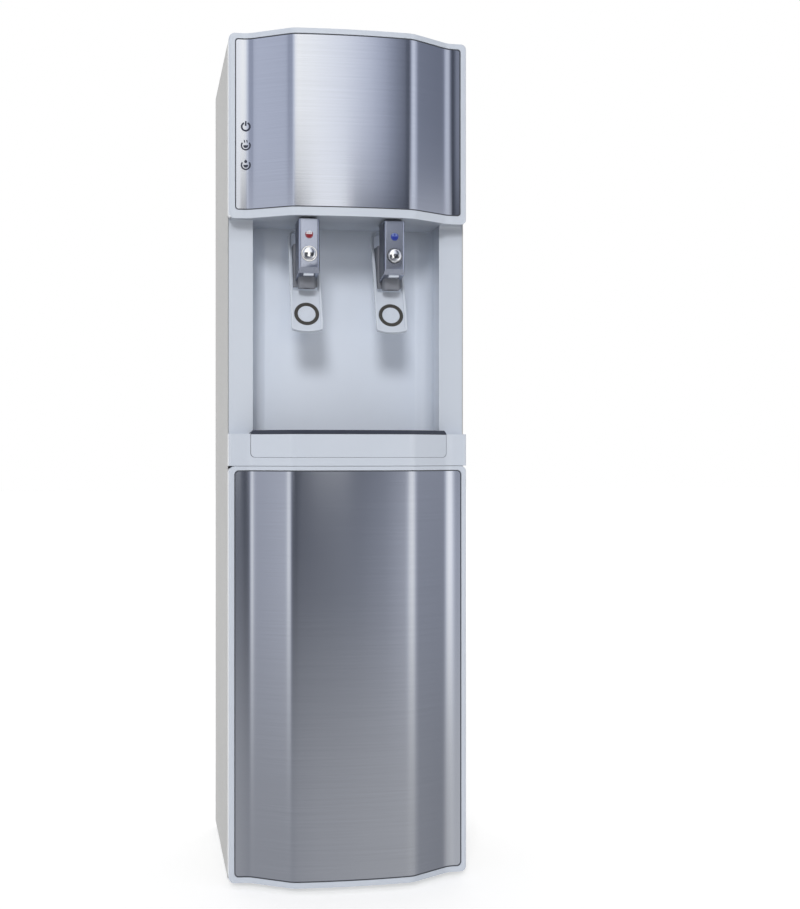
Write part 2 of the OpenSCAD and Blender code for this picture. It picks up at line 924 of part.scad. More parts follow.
module tap_cover() {
    color(silver_c)
        difference() {
            intersection() {
                x_extrude(cover_w)
                    cover_outline(0, cover_top_z);
                at_z(cover_foot_z - 2 * cover_rear_drop)
                    linear_extrude(cover_h + 3 * cover_rear_drop)
                        translate([0, cover_y + cover_d / 2 + cover_edge_r])
                            rounded_rect(cover_w, cover_d + 2 * cover_edge_r, cover_edge_r);
            }
            x_extrude(cover_w - 2 * cover_wall)
                cover_outline(cover_wall, cover_top_z + overrun);
            at_z(cover_foot_z - 2 * cover_rear_drop)
                linear_extrude(cover_rear_drop * 2)
                    spout_plan(fit);
            box([cover_wall - cover_w / 2, cover_back_y - cover_wall - overrun, spout_foot_z],
                [cover_w / 2 - cover_wall, cover_back_y + overrun, cover_top_z + overrun]);
            y_cylinder(button_r + button_sleeve + 2 * fit, cover_y - overrun, cover_y + cover_wall + overrun,
                0, button_z);
        }
}

module tap_body() {
    color(dark_c)
        difference() {
            union() {
                box([-block_half, block_y0, block_z0], [block_half, block_y1, block_z1]);
                at_z(spout_foot_z)
                    linear_extrude(block_z0 - spout_foot_z + overrun)
                        spout_plan(0);
                box([-block_half, block_y1 - overrun, block_z0],
                    [block_half, cover_back_y + 2 * fit, trunk_z1]);
                intersection() {
                    box([-trunk_half, cover_back_y + fit, trunk_z0], [trunk_half, alcove_back_y, trunk_z1]);
                    on_lever()
                        box([-lever_w, -lever_w, 0], [lever_w, 2 * lever_t, lever_l]);
                }
                box([-block_half, block_y0, block_z1 - overrun],
                    [block_half, neck_y1, ceiling_top_z + fit + overrun]);
                for (s = [0, 1])
                    mirror([s, 0, 0])
                        box([arm_half + fit, ear_y0, ear_foot_z],
                            [arm_half + fit + ear_t, ear_y1, ceiling_top_z + fit + overrun]);
                box([-neck_half - flange_over, block_y0 - flange_over, ceiling_top_z + fit],
                    [neck_half + flange_over, ear_y1 + flange_over, ceiling_top_z + fit + flange_t]);
                translate([0, nipple_y, ceiling_top_z])
                    cylinder(h = nipple_top_z - ceiling_top_z, r = nipple_r);
            }
            translate([0, stem_y, spout_foot_z - overrun])
                cylinder(h = seat_z - spout_foot_z + overrun, r = stem_chamber_r);
            translate([0, stem_y, seat_z - overrun])
                cylinder(h = seat_t + 2 * overrun, r = seat_r);
            translate([0, stem_y, seat_z + seat_t])
                cylinder(h = block_z1 - seat_z - 3 * seat_t, r = stem_chamber_r);
            translate([0, stem_y, seat_z])
                cylinder(h = block_z1 - seat_z + overrun, r = stem_r + running);
            translate([0, nipple_y, seat_z + 2 * seat_t])
                cylinder(h = nipple_top_z - seat_z, r = nipple_bore_r);
            y_cylinder(nipple_bore_r, nipple_y, stem_y, 0, seat_z + 2 * seat_t + nipple_bore_r);
            x_cylinder(pin_r + running, -neck_half, neck_half, pin_y, pin_z);
        }
}

module tap_stem() {
    color(steel_c)
        translate([0, stem_y, 0]) {
            at_z(seat_z - plug_h / 2)
                cylinder(h = stem_top_z - seat_z + plug_h / 2 - collar_h / 2, r = stem_r);
            at_z(stem_top_z - collar_h)
                cylinder(h = collar_h - stem_r / 2, r = collar_r);
            at_z(stem_top_z - collar_h / 2)
                cylinder(h = collar_h / 2, r = stem_r);
            at_z(seat_z - fit - plug_h)
                cylinder(h = plug_h, r = plug_r);
        }
}

// Spring between the gland and the stem's collar
module tap_spring() {
    z0 = block_z1 + spring_wire_r + fit / 2;
    z1 = stem_top_z - collar_h - spring_wire_r - fit / 2;
    color(steel_c)
        translate([0, stem_y, 0])
            sweep(helix(spring_r, (z1 - z0) / spring_turns, spring_turns, spring_steps, z0),
                spring_wire_r, coil_sides);
}

module lever_outline(t) {
    intersection() {
        union() {
            translate([t - lever_w / 2, lever_foot_r])
                square([lever_w - 2 * t, lever_l - lever_foot_r - lever_top_r]);
            translate([lever_top_r - lever_w / 2, lever_l / 2])
                square([lever_w - 2 * lever_top_r, lever_l / 2 - t]);
            translate([lever_foot_r - lever_w / 2, t])
                square([lever_w - 2 * lever_foot_r, lever_l / 2]);
            for (s = [-1, 1]) {
                translate([s * (lever_w / 2 - lever_top_r), lever_l - lever_top_r])
                    circle(lever_top_r - t);
                translate([s * (lever_w / 2 - lever_foot_r), lever_foot_r])
                    circle(lever_foot_r - t);
            }
        }
        union() {
            translate([0, lever_foot_arc])
                circle(lever_foot_arc - t);
            translate([-lever_w, lever_foot_arc / 2])
                square([2 * lever_w, lever_l]);
        }
    }
}

// Window in a lever, with the tongue that carries its arm
module lever_window() {
    difference() {
        intersection() {
            lever_outline(lever_bar);
            translate([-lever_w, (trunk_z0 - 2 * lever_rim - lever_z) / cos(lever_lean)])
                square([2 * lever_w, lever_l]);
        }
        translate([-arm_half, (trunk_z1 + lever_tongue / 2 - lever_z) / cos(lever_lean)])
            square([2 * arm_half, lever_l]);
    }
}

// Leaning frame of a lever: the sheet lies in XZ with its front face on y = 0
module on_lever() {
    translate([0, lever_y, lever_z])
        rotate([-lever_lean, 0, 0])
            children();
}

// Extrudes an outline in XZ backwards from y0 to y1
module y_extrude(y0, y1) {
    translate([0, y1, 0])
        rotate([90, 0, 0])
            linear_extrude(y1 - y0)
                children();
}

module tap_lever() {
    color(white_c)
        difference() {
            union() {
                on_lever() {
                    y_extrude(0, lever_t)
                        difference() {
                            lever_outline(0);
                            lever_window();
                        }
                    y_extrude(-lever_rim, overrun)
                        difference() {
                            lever_outline(0);
                            lever_outline(lever_rim_w);
                        }
                }
                box([-arm_half, stem_y - stem_r - lever_t / 2, pin_z - arm_h / 2],
                    [arm_half, lever_arm_y, pin_z + arm_h / 2]);
            }
            on_lever()
                y_extrude(-overrun - lever_rim, ring_t / 2)
                    translate([0, ring_up])
                        circle(ring_r + running);
            x_cylinder(pin_r + running, -neck_half, neck_half, pin_y, pin_z);
        }
}

module lever_ring() {
    color(dark_c)
        on_lever()
            y_extrude(-ring_t / 2, ring_t / 2)
                translate([0, ring_up])
                    difference() {
                        circle(ring_r);
                        circle(ring_r - ring_w);
                    }
}

module lever_pins() {
    color(zinc_c)
        at_taps()
            x_cylinder(pin_r, -arm_half - fit - ear_t - fit, arm_half + fit + ear_t + fit, pin_y, pin_z);
}

// Domed button in its ring, on the front of each cover
module lock_button() {
    foot_y = sleeve_y1 + fit;
    color(steel_c)
        translate([0, 0, button_z])
            rotate([-90, 0, 0])
                translate([0, 0, cover_y])
                    rotate_extrude()
                        polygon(concat(
                            [for (i = [0:6]) let (a = 90 * i / 6)
                                [(button_r - least_r) * sin(a), -button_rise - button_dome * cos(a)]],
                            [[button_r, least_r - button_rise], [button_r, foot_y - cover_y],
                                [button_r + button_sleeve, foot_y - cover_y],
                                [button_r + button_sleeve, foot_y - cover_y + button_foot_t],
                                [0, foot_y - cover_y + button_foot_t]]));
}

module button_rings() {
    inner = button_r + fit;
    outer = inner + button_sleeve;
    color(steel_c)
        at_taps()
            translate([0, 0, button_z])
                rotate([-90, 0, 0])
                    translate([0, 0, cover_y])
                        rotate_extrude()
                            polygon([[inner, -button_lip], [outer, -button_lip], [outer, sleeve_l],
                                [inner, sleeve_l]]);
}

// Tanks on their shelf
side_air = 12;
tank_floor = 13;
tank_air = 3;
shelf_y0 = housing_back_y;
shelf_y1 = rear_panel_y - 2 * sheet - 2 * fit;
drier_r = 8;
drier_y = rear_panel_y - 2 * sheet - 2.5 * drier_r;
// The tanks stand side by side, and in front of the drier
tank_depth = drier_y - drier_r - shelf_y0 - 2 * tank_air;
tank_room = min(inner_x, tank_depth);
cold_r = cold_share * tank_room;
hot_r = hot_share * tank_room;
jacket_wall = 15;
jacket_r = 12;
coil_r = 3;
coil_pitch = 14;
coil_turns = 9;
coil_steps = 24;
// The coil lies outside the tank by the depth of one flat of the helix
coil_mid_r = (cold_r + fit + coil_r) / cos(180 / coil_steps);
cold_cavity_r = coil_mid_r + coil_r + fit;
cold_jacket_w = 2 * (cold_cavity_r + jacket_wall / 2);
tank_y = drier_y - drier_r - tank_air - cold_jacket_w / 2;
shelf_z = hood_z - shelf_drop;
cold_x = inner_x - side_air - cold_jacket_w / 2;
cold_top_z = shelf_z + tank_floor + cold_h + tank_floor;
heater_t = 2.5;
hot_cavity_r = hot_r + fit + heater_t + 2 * fit;
hot_jacket_r = hot_cavity_r + jacket_wall * 0.7;
hot_x = side_air + hot_jacket_r - inner_x;
hot_top_z = shelf_z + tank_floor + hot_h + tank_floor;
shelf_lip = 12;
line_r = 4;
line_x = inner_x - side_air;
line_back = 30;
line_y = shelf_y0 + line_back;

module tank_shelf() {
    color(zinc_c)
        difference() {
            union() {
                box([-inner_x, shelf_y0, shelf_z - sheet], [inner_x, shelf_y1, shelf_z]);
                box([-inner_x, shelf_y0, shelf_z - shelf_lip], [inner_x, shelf_y0 + sheet, shelf_z]);
                for (s = [0, 1])
                    mirror([s, 0, 0])
                        box([inner_x - sheet, shelf_y0, shelf_z - shelf_lip],
                            [inner_x, shelf_y1, shelf_z]);
            }
            translate([-line_x, line_y, shelf_z - shelf_lip])
                cylinder(h = 2 * shelf_lip, r = 2 * line_r);
        }
}

// Closed tank with dished corners, as a thin shell
module tank(r, h, wall, bend) {
    rotate_extrude()
        difference() {
            tank_section(r, h, bend);
            translate([0, wall])
                tank_section(r - wall, h - 2 * wall, bend - wall);
        }
}

module tank_section(r, h, bend) {
    square([r - bend, h]);
    translate([0, bend])
        square([r, h - 2 * bend]);
    for (y = [bend, h - bend])
        translate([r - bend, y])
            circle(bend);
}

tank_wall = 1;
tank_bend = 10;

module cold_tank() {
    color(steel_c)
        translate([cold_x, tank_y, shelf_z + tank_floor])
            tank(cold_r, cold_h, tank_wall, tank_bend);
}

module cold_tank_jacket() {
    color(foam_c)
        translate([cold_x, tank_y, shelf_z])
            difference() {
                linear_extrude(cold_top_z - shelf_z)
                    rounded_rect(cold_jacket_w, cold_jacket_w, jacket_r);
                at_z(tank_floor - fit)
                    cylinder(h = cold_h + 2 * fit, r = cold_cavity_r);
            }
}

module evaporator_coil() {
    color(copper_c)
        translate([cold_x, tank_y, shelf_z + tank_floor])
            sweep(helix(coil_mid_r, coil_pitch, coil_turns, coil_steps, 2 * coil_pitch), coil_r, coil_sides);
}

module hot_tank() {
    color(steel_c)
        translate([hot_x, tank_y, shelf_z + tank_floor])
            tank(hot_r, hot_h, tank_wall, tank_bend);
}

module hot_tank_jacket() {
    color(foam_c)
        translate([hot_x, tank_y, shelf_z])
            difference() {
                cylinder(h = hot_top_z - shelf_z, r = hot_jacket_r);
                at_z(tank_floor - fit)
                    cylinder(h = hot_h + 2 * fit, r = hot_cavity_r);
            }
}

heater_h = 40;

module band_heater() {
    color(copper_c)
        translate([hot_x, tank_y, shelf_z + tank_floor + 2 * tank_bend])
            difference() {
                cylinder(h = heater_h, r = hot_r + fit + heater_t);
                at_z(-overrun)
                    cylinder(h = heater_h + 2 * overrun, r = hot_r + fit);
            }
}

thermostat_r = 9;
thermostat_h = 6;

module thermostats() {
    color(black_c)
        for (s = [-1, 1])
            translate([hot_x, tank_y + s * hot_r / 2, hot_top_z]) {
                cylinder(h = thermostat_h, r = thermostat_r);
                at_z(thermostat_h / 2)
                    cylinder(h = thermostat_h, r = thermostat_r / 2);
            }
}

// Silicone tubes from the tanks to the taps
supply_r = 5;
supply_run = 14;
supply_rise = 25;
supply_z = nipple_top_z + supply_rise;

module cold_supply_tube() {
    start_y = tank_y - cold_jacket_w / 2;
    color(tube_c)
        tube([[cold_x, start_y, supply_z], [cold_x, start_y - 2 * supply_run, supply_z],
            [tap_x, nipple_y, supply_z], [tap_x, nipple_y, nipple_top_z]], supply_r, supply_run);
}

module hot_supply_tube() {
    over_z = hot_top_z + supply_rise;
    color(tube_c)
        tube([[hot_x, tank_y, hot_top_z], [hot_x, tank_y, over_z], [hot_x, alcove_back_y, over_z],
            [-tap_x, nipple_y, supply_z], [-tap_x, nipple_y, nipple_top_z]], supply_r, supply_run);
}

// Compressor on its grommets
grommet_h = 14;
grommet_r = 9;
grommet_bolt_r = 3;
mount_half = compressor_r * 0.85;
mount_t = 3;
compressor_z = base_top_z + grommet_h;
compressor_air = 20;
compressor_y = rear_panel_y - compressor_r - compressor_air;
compressor_wall = 8;
belt_r = 3;
belt_h = 4;

module at_grommets() {
    for (x = [-mount_half, mount_half], y = [-mount_half, mount_half])
        translate([x, compressor_y + y, 0])
            children();
}

module compressor() {
    r = compressor_r;
    h = compressor_h;
    color(black_c)
        difference() {
            union() {
                translate([0, compressor_y, compressor_z])
                    rotate_extrude()
                        polygon(concat([[0, 0], [r * 0.8, 0], [r - belt_r, r * 0.15],
                            [r - belt_r, h / 2 - belt_h], [r, h / 2 - belt_h], [r, h / 2 + belt_h],
                            [r - belt_r, h / 2 + belt_h]],
                            [for (i = [0:8]) let (a = 90 * i / 8)
                                [(r - belt_r) * cos(a), h * 0.62 + h * 0.38 * sin(a)]]));
                translate([0, compressor_y, compressor_z + mount_t / 2])
                    linear_extrude(mount_t, center = true)
                        rounded_rect(2 * (mount_half + grommet_r), 2 * (mount_half + grommet_r), grommet_r);
                translate([r / 2, compressor_y + r / 2, compressor_z + h * 0.62])
                    cylinder(h = h * 0.38, r = line_r);
            }
            translate([0, compressor_y, compressor_z + compressor_wall])
                cylinder(h = h * 0.7, r = r - belt_r - compressor_wall * 1.5);
            at_grommets()
                at_z(compressor_z - overrun)
                    cylinder(h = mount_t + 2 * overrun, r = grommet_bolt_r + fit);
        }
}

module compressor_grommets() {
    color(black_c)
        at_grommets() {
            at_z(base_top_z)
                rotate_extrude()
                    polygon([[0, 0], [grommet_r, 0], [grommet_r * 0.7, grommet_h / 2],
                        [grommet_r, grommet_h], [0, grommet_h]]);
            at_z(base_top_z + grommet_h - overrun)
                cylinder(h = mount_t + 4 * overrun, r = grommet_bolt_r);
        }
}

module terminal_cover() {
    w = 44;
    d = 26;
    h = 48;
    corner = 4;
    x0 = -compressor_r - d;
    color(black_c)
        difference() {
            translate([x0 + d / 2 + belt_r, compressor_y, compressor_z + compressor_h * 0.2])
                linear_extrude(h)
                    rounded_rect(d + 2 * belt_r, w, corner);
            translate([0, compressor_y, compressor_z])
                cylinder(h = compressor_h, r = compressor_r + fit);
        }
}

// Wire-on-tube condenser in the recess behind the back panel
wire_r = 0.8;
wire_gap = 0.05;
condenser_sides = 10;
// Reach of each quarter bend, just short of half the pitch
bend_share = 0.49;
clip_w = 14;
clip_hgt = 12;

function condenser_corners() = [for (i = [0:condenser_runs - 2])
    let (x = (i % 2 == 0 ? 1 : -1) * (condenser_x + condenser_pitch / 2),
        z = condenser_z0 + i * condenser_pitch)
    each [[x, condenser_y, z], [x, condenser_y, z + condenser_pitch]]];

module condenser_tube() {
    end_x = condenser_x + condenser_tube_r;
    color(black_c)
        sweep(route(concat([[-end_x, condenser_y, condenser_z0]], condenser_corners(),
            [[end_x, condenser_y, condenser_z1]]), bend_share * condenser_pitch), condenser_tube_r,
            condenser_sides);
}

module condenser_wires() {
    count = floor((condenser_x - wire_pitch) / wire_pitch);
    y = condenser_y + condenser_tube_r + wire_r + wire_gap;
    color(black_c)
        for (i = [-count:count])
            translate([i * wire_pitch, y, condenser_z0 - 2 * condenser_tube_r])
                cylinder(h = condenser_z1 - condenser_z0 + 4 * condenser_tube_r, r = wire_r);
}

module condenser_clips() {
    color(black_c)
        for (x = [-condenser_x / 2, condenser_x / 2], i = [1, condenser_runs - 2])
            translate([x, 0, condenser_z0 + i * condenser_pitch])
                difference() {
                    box([-clip_w / 2, rear_panel_y, -clip_hgt / 2],
                        [clip_w / 2, condenser_y, clip_hgt / 2]);
                    x_cylinder(condenser_tube_r + fit, -clip_w, clip_w, condenser_y, 0);
                }
}

// Filter drier and refrigerant lines
drier_l = 60;
copper_r = 3;
capillary_r = 1.5;
drier_drop = 24;
drier_z1 = condenser_z1 - drier_drop;

module filter_drier() {
    color(copper_c)
        translate([condenser_x, drier_y, drier_z1 - drier_l])
            rotate_extrude()
                polygon([[0, 0], [copper_r, 0], [drier_r, drier_r], [drier_r, drier_l - drier_r],
                    [copper_r, drier_l], [0, drier_l]]);
}

module refrigerant_lines() {
    stub_y = condenser_y - condenser_tube_r - wire_gap;
    cx = compressor_r / 2;
    cy = compressor_y + compressor_r / 2;
    cz = compressor_z + compressor_h;
    color(copper_c) {
        tube([[cx, cy, cz], [cx, cy, condenser_z0], [-condenser_x, cy, condenser_z0],
            [-condenser_x, stub_y, condenser_z0]], copper_r, drier_r);
        tube([[condenser_x, stub_y, condenser_z1], [condenser_x, drier_y, condenser_z1],
            [condenser_x, drier_y, drier_z1]], copper_r, copper_r);
        tube([[condenser_x, drier_y, drier_z1 - drier_l], [condenser_x, drier_y, shelf_z + drier_l],
            [condenser_x, tank_y + cold_jacket_w / 2, shelf_z + drier_l]], capillary_r, copper_r);
    }
}

// Filters hanging behind the lower front
bracket_drop = 30;
bracket_z = lower_top_z - bracket_drop;
bracket_t = 1.5;
bracket_lip = 14;
filter_back = 45;
filter_y = joint_y + filter_back;
filter_pitch_share = 0.5725;
filter_pitch = filter_pitch_share * inner_x;
head_r = 18;
head_h = 18;
port_r = 5;
port_l = 24;
bracket_half = 30;
bracket_y0 = filter_y - bracket_half;
bracket_y1 = filter_y + bracket_half;
head_z = bracket_z - head_h;
port_z = head_z + head_h / 2;

module at_filters() {
    for (i = [-1, 0, 1])
        translate([i * filter_pitch, filter_y, 0])
            children();
}

module filter_bracket() {
    color(zinc_c) {
        box([-inner_x, bracket_y0, bracket_z], [inner_x, bracket_y1, bracket_z + bracket_t]);
        for (s = [0, 1])
            mirror([s, 0, 0])
                box([inner_x - bracket_t, bracket_y0, bracket_z - bracket_lip],
                    [inner_x, bracket_y1, bracket_z + bracket_t]);
        at_filters() {
            at_z(head_z)
                cylinder(h = head_h + overrun, r = head_r);
            x_cylinder(port_r, -port_l, port_l, 0, port_z);
        }
    }
}

module filter_cartridges() {
    shoulder = 8;
    color(white_c)
        at_filters()
            at_z(head_z - filter_l)
                rotate_extrude()
                    polygon([[0, 0], [filter_r - shoulder, 0], [filter_r, shoulder],
                        [filter_r, filter_l - 3 * shoulder], [0.9 * head_r, filter_l - 2 * shoulder],
                        [0.9 * head_r, filter_l], [0, filter_l]]);
}

module water_lines() {
    end_x = filter_pitch + port_l;
    over_z = cold_top_z + supply_rise;
    color(tube_c) {
        for (s = [-1, 1])
            translate([s * filter_pitch / 2, filter_y, port_z])
                x_cylinder(line_r, port_l - filter_pitch / 2, filter_pitch / 2 - port_l);
        tube([[service_x, inlet_y0, water_z], [service_x, inlet_y0 - 2 * drier_r, water_z],
            [line_x, line_y, water_z], [line_x, line_y, port_z], [line_x, filter_y, port_z],
            [end_x, filter_y, port_z]], line_r, drier_r);
        tube([[-end_x, filter_y, port_z], [-line_x, filter_y, port_z], [-line_x, line_y, port_z],
            [-line_x, line_y, over_z], [cold_x, tank_y, over_z], [cold_x, tank_y, cold_top_z]],
            line_r, drier_r);
    }
}

// Indicator board behind the upper left wing
board_w = 14;
board_h = 70;
board_t = 1.6;
board_arm = 5;
lamp_r = 2.5;
lamp_pitch = 24.5;
lamp_drop_share = 0.6115;
board_z = body_h - lamp_drop_share * (body_h - hood_z);
lamp_x = upper_window_w / 2 - panel_ledge - lamp_r - 2 * fit;
board_x1 = upper_window_w / 2 - panel_ledge - fit;
board_y0 = wing_y + frame_wall + board_t;

module indicator_board() {
    color([0.12, 0.35, 0.20])
        mirror([1, 0, 0]) {
            box([board_x1 - board_w, board_y0, board_z - board_h / 2],
                [board_x1, board_y0 + board_t, board_z + board_h / 2]);
            for (i = [-1, 0, 1])
                y_cylinder(lamp_r, wing_y + pocket + fit, board_y0 + board_t / 2, lamp_x,
                    board_z + i * lamp_pitch);
            for (s = [-1, 1])
                translate([0, 0, board_z + s * board_arm * 2]) {
                    box([board_x1 - board_arm, board_y0, -board_arm / 2],
                        [board_x1 + board_arm, board_y0 + board_t, board_arm / 2]);
                    box([board_x1 + fit + least_r, wing_y + frame_wall, -board_arm / 2],
                        [board_x1 + board_arm, board_y0 + board_t, board_arm / 2]);
                }
        }
}

// Rear rocker switches for heating and cooling
rocker_w = 14;
rocker_h = 22;
rocker_pitch = 20;
rocker_tilt = 8;
rocker_pin_r = 1.5;
rocker_room = 0.8;
switch_body_w = 44;
switch_body_h = 28;
switch_plate_over = 3;
switch_plate_t = 2;
switch_depth = 18;
rocker_y = rear_panel_y + switch_plate_t;
rocker_peak = 2.8;

module at_rocker(side) {
    translate([side * rocker_pitch / 2 - service_x, rocker_y, switch_z])
        children();
}

module switch_bezel() {
    color(black_c)
        difference() {
            union() {
                rear_body(switch_body_w, switch_body_h, switch_depth, -service_x, switch_z);
                rear_plate(switch_body_w + 2 * switch_plate_over, switch_body_h + 2 * switch_plate_over,
                    -service_x, switch_z);
            }
            for (side = [-1, 1])
                at_rocker(side) {
                    box([-rocker_w / 2 - fit, -switch_depth + switch_plate_t, -rocker_h / 2 - rocker_room],
                        [rocker_w / 2 + fit, overrun, rocker_h / 2 + rocker_room]);
                    x_cylinder(rocker_pin_r + fit, -rocker_w / 2 - overrun, rocker_w / 2 + overrun,
                        -rocker_pin_r * 2, 0);
                }
        }
}

// Body behind the back panel and the plate on its face
module rear_body(w, h, depth, x, z) {
    box([x - w / 2, rear_panel_y - depth, z - h / 2],
        [x + w / 2, rear_panel_y + switch_plate_t / 2, z + h / 2]);
}

module rear_plate(w, h, x, z) {
    box([x - w / 2, rear_panel_y, z - h / 2], [x + w / 2, rear_panel_y + switch_plate_t, z + h / 2]);
}

// A rocker lies tilted with one half pressed in
module rocker(c) {
    color(c)
        translate([0, -rocker_pin_r * 2, 0])
            rotate([-rocker_tilt, 0, 0]) {
                x_extrude(rocker_w)
                    polygon([[rocker_pin_r * 2 + rocker_peak, -rocker_h / 2 + rocker_room],
                        [rocker_pin_r * 2 + rocker_peak / 2, 0],
                        [rocker_pin_r * 2 + rocker_peak, rocker_h / 2 - rocker_room],
                        [rocker_pin_r, rocker_h / 2 - rocker_room], [-rocker_pin_r * 3, 0],
                        [rocker_pin_r, -rocker_h / 2 + rocker_room]]);
                x_cylinder(rocker_pin_r, -rocker_w / 2 - overrun + fit, rocker_w / 2 + overrun - fit, 0, 0);
            }
}

module heating_switch() {
    at_rocker(-1)
        rocker([0.70, 0.12, 0.10]);
}

module cooling_switch() {
    at_rocker(1)
        rocker([0.15, 0.45, 0.25]);
}

// Mains inlet with its three blades, at the foot of the back panel
power_body_w = 28;
power_body_h = 20.5;
power_flange_over = 2.5;
power_proud = 15;
power_depth = 6;
power_cavity_w = 24;
power_cavity_h = 16.5;
power_cavity_d = 15;
blade_w = 2;
blade_h = 4;
blade_l = 9;
blade_x = 7;
blade_z = 2;
power_face_y = rear_panel_y + power_proud;

module power_inlet() {
    color(black_c)
        translate([-service_x, 0, power_z]) {
            difference() {
                union() {
                    rear_body(power_body_w, power_body_h, power_depth, 0, 0);
                    box([-power_body_w / 2, rear_panel_y, -power_body_h / 2],
                        [power_body_w / 2, power_face_y, power_body_h / 2]);
                    rear_plate(power_body_w + 2 * power_flange_over,
                        power_body_h + 2 * power_flange_over, 0, 0);
                }
                translate([0, power_face_y + overrun, 0])
                    rotate([90, 0, 0])
                        linear_extrude(power_cavity_d + overrun)
                            rounded_rect(power_cavity_w, power_cavity_h, blade_w);
            }
            for (b = [[-blade_x, -blade_z], [blade_x, -blade_z], [0, blade_z]])
                box([b[0] - blade_w / 2, power_face_y - power_cavity_d - overrun, b[1] - blade_h / 2],
                    [b[0] + blade_w / 2, power_face_y - power_cavity_d + blade_l, b[1] + blade_h / 2]);
        }
}

// Push-in water inlet and the capped drain
inlet_body_r = 9;
inlet_nut_r = 12;
inlet_nut_t = 4;
inlet_out = 16;
inlet_in = 12;
inlet_y1 = rear_panel_y + inlet_out;
inlet_y0 = rear_panel_y - inlet_in;
collet_r = 6;
collet_l = 3;

module water_inlet() {
    color(white_c)
        difference() {
            union() {
                y_cylinder(inlet_body_r, inlet_y0, inlet_y1, service_x, water_z);
                y_cylinder(inlet_nut_r, rear_panel_y, rear_panel_y + inlet_nut_t, service_x, water_z);
                y_cylinder(collet_r, inlet_y1 - overrun, inlet_y1 + collet_l, service_x, water_z);
            }
            y_cylinder(inlet_bore_r, inlet_y1 + collet_l - inlet_bore_l, inlet_y1 + collet_l + overrun,
                service_x, water_z);
        }
}

drain_r = 6;
drain_cap_r = 9;
drain_cap_l = 10;
drain_grip = 0.8;
drain_grips = 12;

module drain_cap() {
    color(white_c) {
        y_cylinder(drain_r, rear_panel_y - drain_cap_l, rear_panel_y + overrun, service_x, drain_z);
        difference() {
            y_cylinder(drain_cap_r, rear_panel_y, rear_panel_y + drain_cap_l, service_x, drain_z);
            for (i = [0:drain_grips - 1])
                translate([service_x, 0, drain_z])
                    rotate([0, 360 * i / drain_grips, 0])
                        y_cylinder(drain_grip, rear_panel_y + drain_cap_l / 3,
                            rear_panel_y + drain_cap_l + overrun, drain_cap_r, 0);
        }
    }
}

module hot_side() {
    translate([-tap_x, 0, 0])
        children();
}

module cold_side() {
    translate([tap_x, 0, 0])
        children();
}

base_plate();
rubber_feet();
left_side_panel();
right_side_panel();
back_panel();
top_cover();
upper_front_frame();
upper_steel_panel();
lower_front_frame();
lower_steel_panel();
panel_clips();
alcove_housing();
tray_housing();
drip_tray();
drip_grille();
hot_side() tap_cover();  // hot_tap_cover
cold_side() tap_cover();  // cold_tap_cover
hot_side() tap_body();  // hot_tap_body
cold_side() tap_body();  // cold_tap_body
hot_side() tap_stem();  // hot_tap_stem
cold_side() tap_stem();  // cold_tap_stem
hot_side() tap_spring();  // hot_tap_spring
cold_side() tap_spring();  // cold_tap_spring
hot_side() tap_lever();  // hot_tap_lever
cold_side() tap_lever();  // cold_tap_lever
hot_side() lever_ring();  // hot_lever_ring
cold_side() lever_ring();  // cold_lever_ring
lever_pins();
hot_side() lock_button();  // hot_lock_button
cold_side() lock_button();  // cold_lock_button
button_rings();
rear_screws();
tank_shelf();
cold_tank();
cold_tank_jacket();
evaporator_coil();
hot_tank();
hot_tank_jacket();
band_heater();
thermostats();
cold_supply_tube();
hot_supply_tube();
compressor();
compressor_grommets();
terminal_cover();
condenser_tube();
condenser_wires();
condenser_clips();
filter_drier();
refrigerant_lines();
filter_bracket();
filter_cartridges();
water_lines();
indicator_board();
switch_bezel();
heating_switch();
cooling_switch();
power_inlet();
water_inlet();
drain_cap();
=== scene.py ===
"""Floor-standing water dispenser: finishes, moulded edges, printed symbols and a plain studio."""

import json
import math
from contextlib import contextmanager

import bmesh
import bpy
from bpy.props import FloatProperty, FloatVectorProperty, PointerProperty
from bpy.types import Operator, Panel, PropertyGroup
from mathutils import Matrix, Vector


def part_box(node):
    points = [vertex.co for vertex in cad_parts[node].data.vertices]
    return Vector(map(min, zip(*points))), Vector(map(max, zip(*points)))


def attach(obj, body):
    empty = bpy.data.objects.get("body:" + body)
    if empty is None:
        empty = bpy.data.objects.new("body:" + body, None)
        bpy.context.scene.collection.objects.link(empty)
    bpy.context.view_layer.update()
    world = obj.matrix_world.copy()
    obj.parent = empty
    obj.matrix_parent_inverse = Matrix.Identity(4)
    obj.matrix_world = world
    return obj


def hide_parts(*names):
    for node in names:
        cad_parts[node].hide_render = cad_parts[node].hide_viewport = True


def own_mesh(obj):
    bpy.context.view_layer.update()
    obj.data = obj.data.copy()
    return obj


bl_info = {
    "name": "Water dispenser",
    "version": (1, 0, 0),
    "blender": (4, 5, 0),
    "location": "View3D > Sidebar > Dispenser",
    "description": "Finishes, edges and printed symbols of a water dispenser, and its studio",
    "category": "Object",
}

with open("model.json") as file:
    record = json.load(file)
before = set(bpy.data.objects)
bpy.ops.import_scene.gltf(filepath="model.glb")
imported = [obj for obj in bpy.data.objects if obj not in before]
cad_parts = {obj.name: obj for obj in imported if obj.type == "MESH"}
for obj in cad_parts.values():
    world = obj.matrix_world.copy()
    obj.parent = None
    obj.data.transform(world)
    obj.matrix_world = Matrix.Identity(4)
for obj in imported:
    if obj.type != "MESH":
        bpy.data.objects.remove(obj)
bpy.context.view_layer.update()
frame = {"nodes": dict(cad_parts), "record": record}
SLOTS = {part["node"]: part["material_slot"] for part in frame["record"]["subparts"]}
BEHAVIOUR = frame["record"]["behaviour"]
RIDES = {node: body for body, nodes in BEHAVIOUR["bodies"].items() for node in nodes}

MM = 0.001
WHITE = (1, 1, 1, 1)
SIDES = ("hot", "cold")
